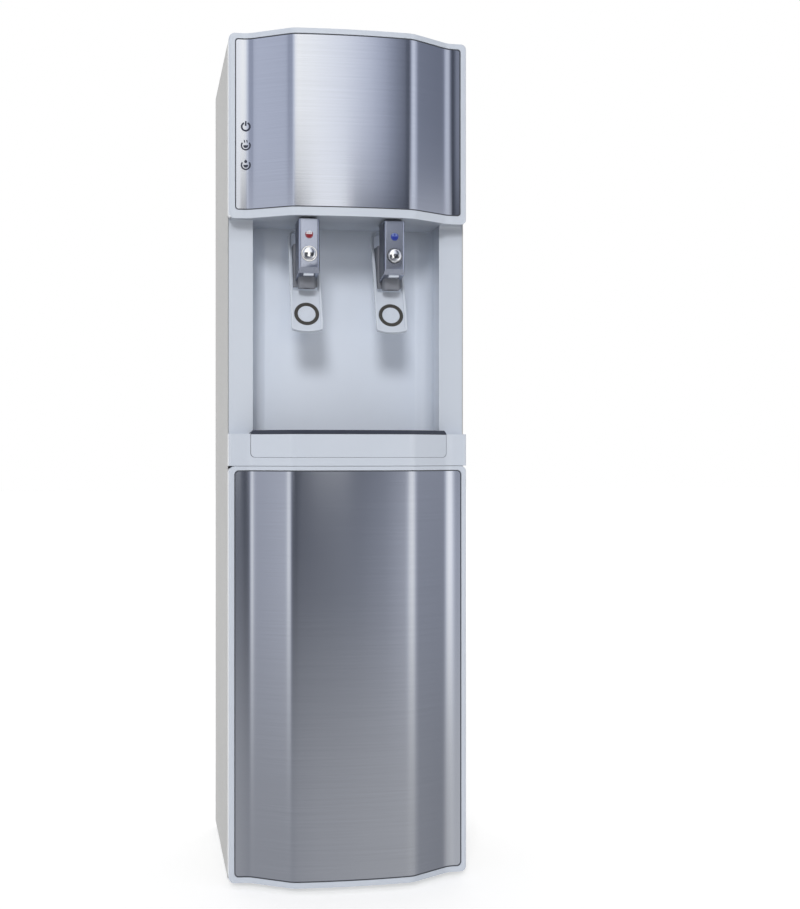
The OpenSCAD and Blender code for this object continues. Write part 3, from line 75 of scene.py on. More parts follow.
# Nearer than this, vertices are one
WELD = 0.005 * MM
# How far the levers' lower ends lean forward
LEAN = math.radians(22)
# Finishes by name, filled by the first operator
FINISHES = {}

# Where painted light and shade change, in metres: X at the right wing's bend, Y from the alcove's front to
# its depth, and Z at the start of the hood's painted shade
WING_BEND = (0.123, 0.137)
ALCOVE_DEPTH = (-0.117, -0.080)
HOOD_SHADE = (0.825, 0.855)

# Camera, in front and a little to the left
CAMERA_PLACE = (-0.266, -1.974, 0.5535)
CAMERA_TURN = -10.27
LENS = 56.85
SENSOR = 36.0

# Key light: degrees over the horizon, and the width of its disc in degrees
KEY_RISE = 27
KEY_WIDTH = 14

# The round wall that the steel reflects, and how far its axis lies in front of the object's
WALL_R = 1.3
WALL_FORWARD = 0.15
# Its height, the height of its middle, and how far back it reaches
WALL_HEIGHT = 5.0
WALL_MIDDLE = 0.6
WALL_BACK = 0.25
# The angle that the ramps reach to each side, and the brightest level that they can hold
WALL_SPAN = 115.0
RAMP_TOP = 2.0
# Levels of its light: (angle from the front towards +X in degrees, level)
UPPER_WALL = ((-110, 0.62), (-66, 0.67), (-63, 0.62), (-58, 0.42), (-44, 0.45), (-33, 0.88), (-22, 1.30),
              (-10, 1.42), (-4, 1.34), (0, 1.22), (4, 1.12), (8, 0.98), (12, 0.82), (16, 0.62), (20, 0.36),
              (24, 0.14), (32, 0.12), (40, 0.30), (50, 0.76), (62, 0.84), (72, 0.60), (78, 0.24), (84, 0.18),
              (110, 0.20))
MIDDLE_WALL = ((-110, 0.5), (-34, 0.7), (-26, 0.08), (-7, 0.06), (-2, 1.2), (5, 1.3), (9, 0.05),
               (30, 0.05), (36, 0.8), (110, 0.5))
LOWER_WALL = ((-110, 0.45), (-66, 0.45), (-63, 0.56), (-59, 1.0), (-53, 0.90), (-46, 0.30), (-38, 0.12),
              (-20, 0.11), (-8, 0.14), (0, 0.165), (8, 0.215), (16, 0.30), (21, 0.42), (26, 0.68), (34, 0.98),
              (50, 1.1), (62, 0.92), (72, 0.54), (78, 0.34), (84, 0.31), (110, 0.33))
FOOT_WALL = ((-110, 0.38), (-60, 0.40), (-40, 0.38), (-8, 0.41), (0, 0.45), (16, 0.49), (35, 0.53),
             (60, 0.51), (74, 0.42), (82, 0.29), (110, 0.28))
# The bands over the foot: levels, the heights between which the band takes over, how blue it is when dark,
# and how much of that its light takes away
WALL_BANDS = ((LOWER_WALL, -0.25, 0.42, 1.27, 0.28), (MIDDLE_WALL, 0.58, 0.68, 1.25, 0.25),
              (UPPER_WALL, 1.05, 1.14, 1.42, 0.36))
FOOT_TONE = (1.20, 0.45)


def middle(node):
    """Middle of a CAD node's box."""
    low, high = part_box(node)
    return (low + high) / 2


# Shader nodes


def feed(tree, node, inputs):
    """Gives inputs of a node, by name or number, a value or another node's output."""
    for key, value in inputs.items():
        if isinstance(value, bpy.types.NodeSocket):
            tree.links.new(value, node.inputs[key])
        else:
            node.inputs[key].default_value = value


def add(tree, kind, inputs, **options):
    """A new node, with its options set before its inputs are fed."""
    node = tree.nodes.new("ShaderNode" + kind)
    for name, value in options.items():
        setattr(node, name, value)
    feed(tree, node, inputs)
    return node


def new_material(name):
    """A new material with only its output."""
    material = bpy.data.materials.new(name)
    material.use_nodes = True
    tree = material.node_tree
    tree.nodes.clear()
    return material, tree, add(tree, "OutputMaterial", {})


def new_finish(name):
    """The tree and the principled shader of a new finish, which is kept under its name."""
    material, tree, output = new_material(name)
    FINISHES[name] = material
    shader = add(tree, "BsdfPrincipled", {})
    feed(tree, output, {0: shader.outputs[0]})
    return tree, shader


def object_coordinates(tree, scale=(1, 1, 1)):
    """Object coordinates in metres, stretched by scale."""
    source = add(tree, "TexCoord", {})
    return add(tree, "Mapping", {"Vector": source.outputs["Object"], "Scale": scale}).outputs["Vector"]


def split(tree, vector):
    """X, Y and Z of a vector."""
    return add(tree, "SeparateXYZ", {0: vector}).outputs


def calculate(tree, operation, *values):
    """Result of a math node."""
    return add(tree, "Math", dict(enumerate(values)), operation=operation).outputs[0]


def map_range(tree, value, start, end, low, high, curve="LINEAR"):
    """Maps start to end onto low to high, and holds both ends."""
    inputs = {"Value": value, "From Min": start, "From Max": end, "To Min": low, "To Max": high}
    return add(tree, "MapRange", inputs, interpolation_type=curve).outputs["Result"]


def spread(tree, value, low, high, width=0.35):
    """Maps the middle of a texture's range onto low to high."""
    return map_range(tree, value, 0.5 - width / 2, 0.5 + width / 2, low, high)


def mix_colours(tree, factor, first, second):
    inputs = {"Factor": factor, "A": first, "B": second}
    return add(tree, "Mix", inputs, data_type="RGBA").outputs["Result"]


def tint(tree, value, colour, change):
    """The colour, made darker and lighter by a texture."""
    dark = [c * (1 - change) for c in colour]
    light = [min(1.0, c * (1 + change)) for c in colour]
    return mix_colours(tree, value, (*dark, 1), (*light, 1))


def brighten(tree, colour, factor):
    return add(tree, "VectorMath", {0: colour, "Scale": factor}, operation="SCALE").outputs[0]


def noise(tree, vector, scale, detail=4.0, roughness=0.55):
    inputs = {"Vector": vector, "Scale": scale, "Detail": detail, "Roughness": roughness}
    return add(tree, "TexNoise", inputs).outputs["Fac"]


def cells(tree, vector, scale):
    """Outputs of a cell texture."""
    return add(tree, "TexVoronoi", {"Vector": vector, "Scale": scale}).outputs


def cell_tones(tree, vector, scale):
    """Values that differ from cell to cell."""
    return add(tree, "SeparateColor", {"Color": cells(tree, vector, scale)["Color"]}).outputs


def bump(tree, height, distance, strength, normal=None):
    inputs = {"Height": height, "Distance": distance, "Strength": strength}
    if normal is not None:
        inputs["Normal"] = normal
    return add(tree, "Bump", inputs).outputs["Normal"]


def soft_edge(tree, radius):
    """A normal that rounds the light on sharp edges."""
    return add(tree, "Bevel", {"Radius": radius}, samples=4).outputs["Normal"]


# Finishes


def moulded(name, colour, roughness, grain=900.0, depth=0.000005, change=0.01, coat=0.0, edge=0.0006,
            tone=None):
    """Injection moulded plastic: a faint grain, slow changes of tone and softened edges.

    tone makes a factor for the colour from the object coordinates, which paints light and shade into it."""
    tree, shader = new_finish(name)
    vector = object_coordinates(tree)
    slow = spread(tree, noise(tree, vector, 9.0, 3.0), 0.0, 1.0)
    base = tint(tree, slow, colour, change)
    # Painted light and shade, where a tone is given
    if tone:
        base = brighten(tree, base, tone(tree, vector))
    rounding = soft_edge(tree, edge) if edge else None
    feed(tree, shader, {
        "Base Color": base,
        "Roughness": spread(tree, noise(tree, vector, 40.0), roughness - 0.02, roughness + 0.02),
        "Normal": bump(tree, noise(tree, vector, grain, 2.0), depth, 0.5, rounding),
        "IOR": 1.5,
        "Coat Weight": coat,
        "Coat Roughness": 0.08,
    })


def alcove_painted_light(tree, vector):
    """Painted light further into the alcove, and painted shade under the hood."""
    parts = split(tree, vector)
    # Painted light further into the alcove, painted shade under the hood
    painted_alcove_light = map_range(tree, parts["Y"], *ALCOVE_DEPTH, 1.0, 1.22)
    painted_hood_shade = map_range(tree, parts["Z"], *HOOD_SHADE, 1.0, 0.74)
    return calculate(tree, "MULTIPLY", painted_alcove_light, painted_hood_shade)


def brushed(name, colour, wing):
    """Brushed metal with hairlines along X and a highlight that spreads up and down.

    wing multiplies the colour of the right wing: painted shade where it is below 1, painted light where it is
    above 1."""
    tree, shader = new_finish(name)
    vector = object_coordinates(tree)
    lines = noise(tree, object_coordinates(tree, (7, 7, 1300)), 1.0, 6.0, 0.7)
    coarse = noise(tree, object_coordinates(tree, (4, 4, 420)), 1.0, 3.0)
    tone = tint(tree, spread(tree, lines, 0.0, 1.0), colour, 0.045)
    # Painted light and shade on the right wing: darker where wing is below 1, lighter where it is above 1
    painted_wing_light = map_range(tree, split(tree, vector)["X"], *WING_BEND, 1.0, wing)
    tangent = add(tree, "Tangent", {}, direction_type="RADIAL", axis="Z")
    fine = bump(tree, lines, 0.000002, 0.35)
    feed(tree, shader, {
        "Base Color": brighten(tree, tone, painted_wing_light),
        "Roughness": spread(tree, noise(tree, vector, 7.0, 2.0), 0.14, 0.20, 1.0),
        "Normal": bump(tree, coarse, 0.000004, 0.15, fine),
        "Tangent": tangent.outputs["Tangent"],
        "Metallic": 1.0,
        "Anisotropic": 0.75,
        "Anisotropic Rotation": 0.25,
    })


def metal(name, colour, roughness, scale=60.0, change=0.06):
    """Plain metal with slow changes of tone and faint marks."""
    tree, shader = new_finish(name)
    vector = object_coordinates(tree)
    slow = spread(tree, noise(tree, vector, scale), 0.0, 1.0)
    wear = noise(tree, vector, scale * 4, 5.0)
    marks = noise(tree, vector, scale * 12, 3.0)
    feed(tree, shader, {
        "Base Color": tint(tree, slow, colour, change),
        "Roughness": spread(tree, wear, roughness * 0.75, roughness * 1.25),
        "Normal": bump(tree, marks, 0.00001, 0.4, soft_edge(tree, 0.0002)),
        "Metallic": 1.0,
    })


def zinc(name, colour):
    """Galvanised sheet with its crystal spangle."""
    tree, shader = new_finish(name)
    vector = object_coordinates(tree)
    tones = cell_tones(tree, vector, 90.0)
    feed(tree, shader, {
        "Base Color": tint(tree, tones["Red"], colour, 0.10),
        "Roughness": spread(tree, tones["Green"], 0.30, 0.48, 1.0),
        "Normal": bump(tree, noise(tree, vector, 300.0, 3.0), 0.00002, 0.3),
        "Metallic": 1.0,
    })


def silver_paint(name, colour):
    """Silver lacquer with fine metal flake."""
    tree, shader = new_finish(name)
    flakes = cell_tones(tree, object_coordinates(tree), 3200.0)
    feed(tree, shader, {
        "Base Color": tint(tree, flakes["Red"], colour, 0.12),
        "Normal": bump(tree, flakes["Green"], 0.000004, 0.25),
        "Roughness": 0.22,
        "Metallic": 0.95,
        "Coat Weight": 0.2,
        "Coat Roughness": 0.2,
    })


def painted(name, colour, roughness, grain, depth, change=0.025):
    """Powder coat with its fine orange peel."""
    tree, shader = new_finish(name)
    vector = object_coordinates(tree)
    slow = spread(tree, noise(tree, vector, 5.0, 3.0), 0.0, 1.0)
    gloss = noise(tree, vector, grain / 3, 3.0)
    peel = noise(tree, vector, grain, 2.0)
    feed(tree, shader, {
        "Base Color": tint(tree, slow, colour, change),
        "Roughness": spread(tree, gloss, roughness - 0.05, roughness + 0.05),
        "Normal": bump(tree, peel, depth, 0.5, soft_edge(tree, 0.0006)),
    })


def clear_tube(name, colour):
    """Milky silicone rubber."""
    tree, shader = new_finish(name)
    vector = object_coordinates(tree)
    slow = spread(tree, noise(tree, vector, 30.0, 3.0), 0.0, 1.0)
    feed(tree, shader, {
        "Base Color": tint(tree, slow, colour, 0.04),
        "Normal": bump(tree, noise(tree, vector, 500.0, 2.0), 0.00002, 0.4),
        "Roughness": 0.35,
        "Subsurface Weight": 0.15,
    })


def foam(name, colour):
    """Moulded foam with its small cells."""
    tree, shader = new_finish(name)
    pores = cells(tree, object_coordinates(tree), 260.0)["Distance"]
    feed(tree, shader, {
        "Base Color": tint(tree, pores, colour, 0.08),
        "Normal": bump(tree, pores, 0.0008, 0.5),
        "Roughness": 0.9,
    })


# Mesh tools


def deselect_all():
    if bpy.context.mode != "OBJECT":
        bpy.ops.object.mode_set(mode="OBJECT")
    bpy.ops.object.select_all(action="DESELECT")


def make_active(obj):
    deselect_all()
    obj.select_set(True)
    bpy.context.view_layer.objects.active = obj


@contextmanager
def edit_mode(obj):
    """Edit mode, with the whole mesh selected."""
    make_active(obj)
    bpy.ops.object.mode_set(mode="EDIT")
    bpy.ops.mesh.select_all(action="SELECT")
    yield
    bpy.ops.object.mode_set(mode="OBJECT")


@contextmanager
def mesh_of(obj):
    """The mesh as a bmesh, which is written back at the end."""
    mesh = bmesh.new()
    mesh.from_mesh(obj.data)
    mesh.normal_update()
    yield mesh
    mesh.to_mesh(obj.data)
    mesh.free()


def settle(obj):
    """Puts an object's place into its mesh."""
    make_active(obj)
    bpy.ops.object.transform_apply(location=True, rotation=True, scale=True)


def primitive(operator, **options):
    """A new primitive with its place in its mesh."""
    deselect_all()
    operator(**options)
    obj = bpy.context.object
    settle(obj)
    return obj


def moved(obj, where, turn=(0, 0, 0), scale=(1, 1, 1)):
    """Scales, turns and moves a piece, and puts that into its mesh."""
    obj.scale = scale
    obj.rotation_euler = turn
    obj.location = where
    settle(obj)
    return obj


def modify(obj, kind, **options):
    """Adds a modifier and applies it."""
    modifier = obj.modifiers.new(kind.lower(), kind)
    for name, value in options.items():
        setattr(modifier, name, value)
    make_active(obj)
    bpy.ops.object.modifier_apply(modifier=modifier.name)


def outwards(obj):
    """Closes seams and turns all faces outwards."""
    with edit_mode(obj):
        bpy.ops.mesh.remove_doubles(threshold=WELD)
        bpy.ops.mesh.normals_make_consistent(inside=False)


def place(obj, name, finish, body="cabinet"):
    """Names a finished piece, gives it its finish and lets it ride."""
    obj.name = name
    obj.data.name = name
    obj.data.materials.clear()
    obj.data.materials.append(FINISHES[finish])
    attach(obj, body)
    return obj


def copy_of(node):
    """A merged copy of a CAD node, with its flat faces in one piece."""
    source = frame["nodes"][node]
    obj = source.copy()
    obj.data = source.data.copy()
    for key in [k for k in obj.keys() if k.startswith("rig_")]:
        del obj[key]
    obj.parent = None
    bpy.context.scene.collection.objects.link(obj)
    obj.hide_render = False
    obj.hide_viewport = False
    with edit_mode(obj):
        bpy.ops.mesh.customdata_custom_splitnormals_clear()
        bpy.ops.mesh.remove_doubles(threshold=WELD)
        bpy.ops.mesh.dissolve_limited(angle_limit=math.radians(0.5))
    return obj


def smooth(obj):
    """Smooth shading that leaves large flat faces flat."""
    make_active(obj)
    bpy.ops.object.shade_smooth_by_angle(angle=math.radians(30))
    modify(obj, "WEIGHTED_NORMAL", keep_sharp=True)


def rounded(obj, width):
    """Rounds the sharp edges of a piece."""
    modify(obj, "BEVEL", width=width, segments=3, limit_method="ANGLE", angle_limit=math.radians(50))
    smooth(obj)


def corners(obj):
    """Lowest and highest corners of a piece whose place is in its mesh."""
    points = [v.co for v in obj.data.vertices]
    low = Vector([min(p[i] for p in points) for i in range(3)])
    high = Vector([max(p[i] for p in points) for i in range(3)])
    return low, high


def soft_bends(obj, reach=7 * MM, step=3 * MM):
    """Lets the upright bends of a panel shade over a wider band, with the shape as it is.

    Cuts the panel into upright slices, then averages the front's slope over reach to each side."""
    low, high = corners(obj)
    with edit_mode(obj):
        x = low.x + step
        while x < high.x:
            bpy.ops.mesh.select_all(action="SELECT")
            bpy.ops.mesh.bisect(plane_co=(x, 0, 0), plane_no=(1, 0, 0))
            x += step
    mesh = obj.data
    fronts = [p for p in mesh.polygons if p.normal.y < -0.8]
    slopes = [(p.center.x, p.area, p.normal.x / -p.normal.y) for p in fronts]
    known = {}
    normals = [p.normal.copy() for p in mesh.polygons for _ in p.loop_indices]
    for polygon in fronts:
        for loop in polygon.loop_indices:
            x = mesh.vertices[mesh.loops[loop].vertex_index].co.x
            key = round(x / MM, 1)
            if key not in known:
                near = [(a * (reach - abs(c - x)), t) for c, a, t in slopes if abs(c - x) < reach]
                known[key] = sum(w * t for w, t in near) / sum(w for w, t in near)
            normals[loop] = Vector((known[key], -1, 0)).normalized()
    mesh.normals_split_custom_set(normals)


def thicken(obj, thickness):
    """Gives a thin surface its thickness, outwards."""
    modify(obj, "SOLIDIFY", thickness=thickness, offset=1.0)


def keep_faces(obj, test):
    """Deletes the faces that fail a test."""
    with mesh_of(obj) as mesh:
        bmesh.ops.delete(mesh, geom=[f for f in mesh.faces if not test(f)], context="FACES")


def border(obj, width, keep_rim):
    """Splits a surface into a rim of one width and the field inside it, and keeps one of the two."""
    with edit_mode(obj):
        bpy.ops.mesh.select_mode(type="FACE")
        bpy.ops.mesh.inset(thickness=width, depth=0, use_boundary=True, use_even_offset=True)
        if not keep_rim:
            bpy.ops.mesh.select_all(action="INVERT")
        bpy.ops.mesh.delete(type="FACE")


def islands(node):
    """Lowest and highest corners of each separate solid of a CAD node."""
    with edit_mode(copy_of(node)):
        bpy.ops.mesh.separate(type="LOOSE")
    boxes = []
    for part in list(bpy.context.selected_objects):
        boxes.append(corners(part))
        bpy.data.objects.remove(part)
    return boxes


def joined(parts):
    make_active(parts[0])
    for part in parts:
        part.select_set(True)
    if len(parts) > 1:
        bpy.ops.object.join()
    return parts[0]


def duplicate(obj, where):
    """A copy with a mesh of its own, moved by where."""
    other = obj.copy()
    other.data = obj.data.copy()
    bpy.context.scene.collection.objects.link(other)
    return moved(other, where)


# Flat marks, drawn in the XY plane with +Y up, then stood up to face the front


def arc(radius, width, start, sweep):
    """A band along a circle. Angles run from +X towards +Y, in degrees."""
    obj = primitive(bpy.ops.mesh.primitive_plane_add, size=width, location=(radius, width / 2, 0))
    with mesh_of(obj) as mesh:
        far = [v for v in mesh.verts if v.co.y > width / 2]
        bmesh.ops.delete(mesh, geom=far, context="VERTS")
    moved(obj, (0, 0, 0), (0, 0, math.radians(start)))
    with edit_mode(obj):
        # Spin counts angles the other way
        bpy.ops.mesh.spin(steps=40, angle=-math.radians(sweep), center=(0, 0, 0), axis=(0, 0, 1))
    return obj


def disc(radius, centre=(0, 0), below=None, vertices=48):
    """A filled circle, cut off above a height if one is given."""
    obj = primitive(bpy.ops.mesh.primitive_circle_add, vertices=vertices, radius=radius, fill_type="NGON",
                    location=(*centre, 0))
    with edit_mode(obj):
        if below is not None:
            bpy.ops.mesh.bisect(plane_co=(0, below, 0), plane_no=(0, 1, 0), clear_outer=True)
            bpy.ops.mesh.select_all(action="SELECT")
        bpy.ops.mesh.poke()
    return obj


def bar(width, height, centre, turn=0.0):
    obj = primitive(bpy.ops.mesh.primitive_plane_add, size=1.0)
    return moved(obj, (*centre, 0), (0, 0, math.radians(turn)), (width, height, 1))


def drop(radius, centre, tip):
    """A circle whose top point is drawn up."""
    obj = disc(radius, centre, vertices=24)
    top = max(obj.data.vertices, key=lambda v: v.co.y)
    top.co.y += tip
    return obj


def mark(parts, rise, where, name, finish, onto=None):
    """Joins flat shapes into one thin print that faces the front.

    With onto, the print is pressed back onto that piece."""
    obj = joined(parts)
    with edit_mode(obj):
        bpy.ops.mesh.remove_doubles(threshold=0.002 * MM)
    with mesh_of(obj) as mesh:
        for face in mesh.faces:
            if face.normal.z < 0:
                face.normal_flip()
    moved(obj, where, (math.radians(90), 0, 0))
    if onto:
        modify(obj, "SHRINKWRAP", target=onto, wrap_method="PROJECT", use_project_y=True,
               use_positive_direction=True)
    thicken(obj, rise)
    return place(obj, name, finish)


class DispenserSettings(PropertyGroup):
    """Colours and sizes that change the look of the dispenser."""

    white: FloatVectorProperty(name="White plastic", description="Colour of the moulded white plastic",
                               subtype="COLOR", size=3, min=0, max=1, default=(0.635, 0.684, 0.768))
    side: FloatVectorProperty(name="Side paint", description="Colour of the painted steel sides",
                              subtype="COLOR", size=3, min=0, max=1, default=(0.48, 0.48, 0.475))
    steel: FloatVectorProperty(name="Brushed steel", description="Colour of the brushed front panels",
                               subtype="COLOR", size=3, min=0, max=1, default=(0.58, 0.61, 0.69))
    silver: FloatVectorProperty(name="Silver plastic", description="Colour of the tap covers",
                                subtype="COLOR", size=3, min=0, max=1, default=(0.47, 0.51, 0.63))
    hot: FloatVectorProperty(name="Hot mark", description="Colour of the hot tap's mark",
                             subtype="COLOR", size=3, min=0, max=1, default=(0.24, 0.008, 0.018))
    cold: FloatVectorProperty(name="Cold mark", description="Colour of the cold tap's mark",
                              subtype="COLOR", size=3, min=0, max=1, default=(0.01, 0.03, 0.30))
    ink: FloatVectorProperty(name="Print", description="Colour of the printed symbols",
                             subtype="COLOR", size=3, min=0, max=1, default=(0.03, 0.035, 0.06))
    edge: FloatProperty(name="Edge radius", description="Rounding of the moulded edges",
                        unit="LENGTH", min=0.0001, max=0.003, default=0.0008)
    fill: FloatProperty(name="Fill light", description="Strength of the soft light in front",
                        min=0, max=2, default=0.42)
    surround: FloatProperty(name="Surround light", description="Strength of the soft light beside and behind",
                            min=0, max=2, default=0.85)
    key: FloatProperty(name="Key light", description="Strength of the broad lamp in front",
                       min=0, max=10, default=1.25)
    key_turn: FloatProperty(name="Key direction", description="Degrees from the front towards the right side",
                            min=-90, max=90, default=-12)
    floor_lift: FloatProperty(name="Floor lift",
                              description="How much brighter the floor looks than its light",
                              min=0, max=1, default=0.35)


def settings():
    return bpy.context.scene.dispenser


class DISPENSER_OT_finishes(Operator):
    """Give every part of the model its finish"""

    bl_idname = "dispenser.finishes"
    bl_label = "Finishes"

    def execute(self, context):
        s = settings()
        moulded("white_plastic", s.white, 0.20, coat=0.25, edge=0.0)
        # White with painted light and shade in the alcove
        moulded("alcove_white_painted_light", s.white, 0.20, coat=0.25, edge=0.0, tone=alcove_painted_light)
        # One steel twice: painted shade on the upper panel's right wing, painted light on the lower panel's
        brushed("steel_panel", s.steel, wing=0.74)
        brushed("lower_steel", s.steel, wing=1.28)
        painted("side_paint", s.side, 0.42, 700.0, 0.00003)
        moulded("dark_plastic", (0.035, 0.042, 0.065), 0.38, 1500.0)
        silver_paint("silver_plastic", s.silver)
        metal("chrome", (0.86, 0.87, 0.90), 0.05, 90.0, 0.02)
        moulded("grey_plastic", (0.20, 0.21, 0.24), 0.42)
        moulded("ring_plastic", (0.046, 0.043, 0.038), 0.5)
        moulded("black_plastic", (0.022, 0.022, 0.024), 0.40)
        painted("black_paint", (0.018, 0.018, 0.019), 0.36, 900.0, 0.00004, 0.15)
        moulded("rubber", (0.02, 0.02, 0.02), 0.72, 1800.0, 0.00006, 0.10)
        zinc("galvanised", (0.55, 0.57, 0.59))
        metal("stainless", (0.60, 0.61, 0.63), 0.28)
        metal("copper", (0.72, 0.33, 0.19), 0.30, 45.0, 0.12)
        foam("foam", (0.78, 0.75, 0.66))
        clear_tube("silicone", (0.70, 0.73, 0.76))
        moulded("circuit_board", (0.012, 0.10, 0.04), 0.35, 500.0, 0.00005, 0.2)
        moulded("red_plastic", (0.42, 0.012, 0.010), 0.22)
        moulded("green_plastic", (0.010, 0.16, 0.045), 0.22)
        # Dark seal that also stands in for the shade in the gap round the steel panels
        moulded("seal_and_gap_shade", (0.06, 0.065, 0.08), 0.6)
        # Painted shade on the sides of the tap covers
        moulded("painted_shade_slate", (0.055, 0.062, 0.095), 0.35)
        moulded("print_ink", s.ink, 0.5)
        moulded("hot_print", s.hot, 0.35)
        moulded("cold_print", s.cold, 0.35)
        moulded("hot_ground", (0.72, 0.74, 0.80), 0.4)
        moulded("cold_ground", (0.16, 0.22, 0.50), 0.4)
        own = {side + "_lever_ring": "ring_plastic" for side in SIDES}
        for node, obj in frame["nodes"].items():
            obj.data.materials.clear()
            obj.data.materials.append(FINISHES[own.get(node, SLOTS[node])])
        return {"FINISHED"}


class DISPENSER_OT_mouldings(Operator):
    """Round the edges of the moulded parts that show"""

    bl_idname = "dispenser.mouldings"
    bl_label = "Moulded edges"

    def execute(self, context):
        edge = settings().edge
        cut_edge = 0.15 * MM
        widths = {
            "upper_front_frame": edge,
            "lower_front_frame": edge,
            "alcove_housing": edge,
            "tray_housing": edge,
            "drip_tray": edge * 0.8,
            "hot_tap_cover": edge * 0.6,
            "cold_tap_cover": edge * 0.6,
            "hot_tap_lever": edge * 0.8,
            "cold_tap_lever": edge * 0.8,
            "top_cover": edge,
            "upper_steel_panel": cut_edge,
            "lower_steel_panel": cut_edge,
        }
        # The alcove and the lower steel panel take the copies with painted light and shade
        own = {"alcove_housing": "alcove_white_painted_light", "lower_steel_panel": "lower_steel"}
        for node, width in widths.items():
            obj = copy_of(node)
            rounded(obj, width)
            if node.endswith("steel_panel"):
                soft_bends(obj)
            slot = SLOTS[node]
            place(obj, node + "_rounded", own.get(node, slot), RIDES[node])
            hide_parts(node)
        return {"FINISHED"}


class DISPENSER_OT_seals(Operator):
    """Lay the dark seal line round each steel panel, which also paints the shade in the gap to the frame"""

    bl_idname = "dispenser.seals"
    bl_label = "Seal lines"

    def execute(self, context):
        width, rise = 1.2 * MM, 0.25 * MM
        for node in ("upper_steel_panel", "lower_steel_panel"):
            obj = copy_of(node)
            keep_faces(obj, lambda f: f.normal.y < -0.5)
            border(obj, width, True)
            thicken(obj, rise)
            outwards(obj)
            if not obj.data.polygons:
                raise RuntimeError("no seal line on " + node)
            place(obj, node + "_seal", "seal_and_gap_shade")
        return {"FINISHED"}


class DISPENSER_OT_symbols(Operator):
    """Print the power, hot water and cold water symbols on the upper left wing"""

    bl_idname = "dispenser.symbols"
    bl_label = "Symbols"

    def execute(self, context):
        panel = bpy.data.objects["upper_steel_panel_rounded"]
        # The symbols start ahead of the wing and are pressed back onto it
        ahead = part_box("upper_steel_panel")[1].y - 11 * MM
        column, rise = -133.4 * MM, 0.2 * MM
        rows = {
            "power_symbol": (self.power, 971 * MM),
            "hot_symbol": (self.hot, 947 * MM),
            "cold_symbol": (self.cold, 922 * MM),
        }
        for name, (shapes, height) in rows.items():
            mark(shapes(), rise, (column, ahead, height), name, "print_ink", panel)
        return {"FINISHED"}

    def power(self):
        """An open ring with a stroke through its gap."""
        return [arc(5.1 * MM, 2.2 * MM, 115, 310), bar(2.0 * MM, 6.0 * MM, (0, 4.0 * MM))]

    def cup(self, level):
        """A round cup that is filled up to a level."""
        return [arc(5.4 * MM, 1.8 * MM, 140, 260), disc(3.1 * MM, below=level)]

    def hot(self):
        """A cup with two strokes of steam."""
        return self.cup(0.5 * MM) + [bar(1.3 * MM, 3.6 * MM, (x * MM, 5.4 * MM), 12) for x in (-1.6, 1.6)]

    def cold(self):
        """A cup under a drop."""
        return self.cup(0.3 * MM) + [drop(1.9 * MM, (0, 4.6 * MM), 1.2 * MM)]


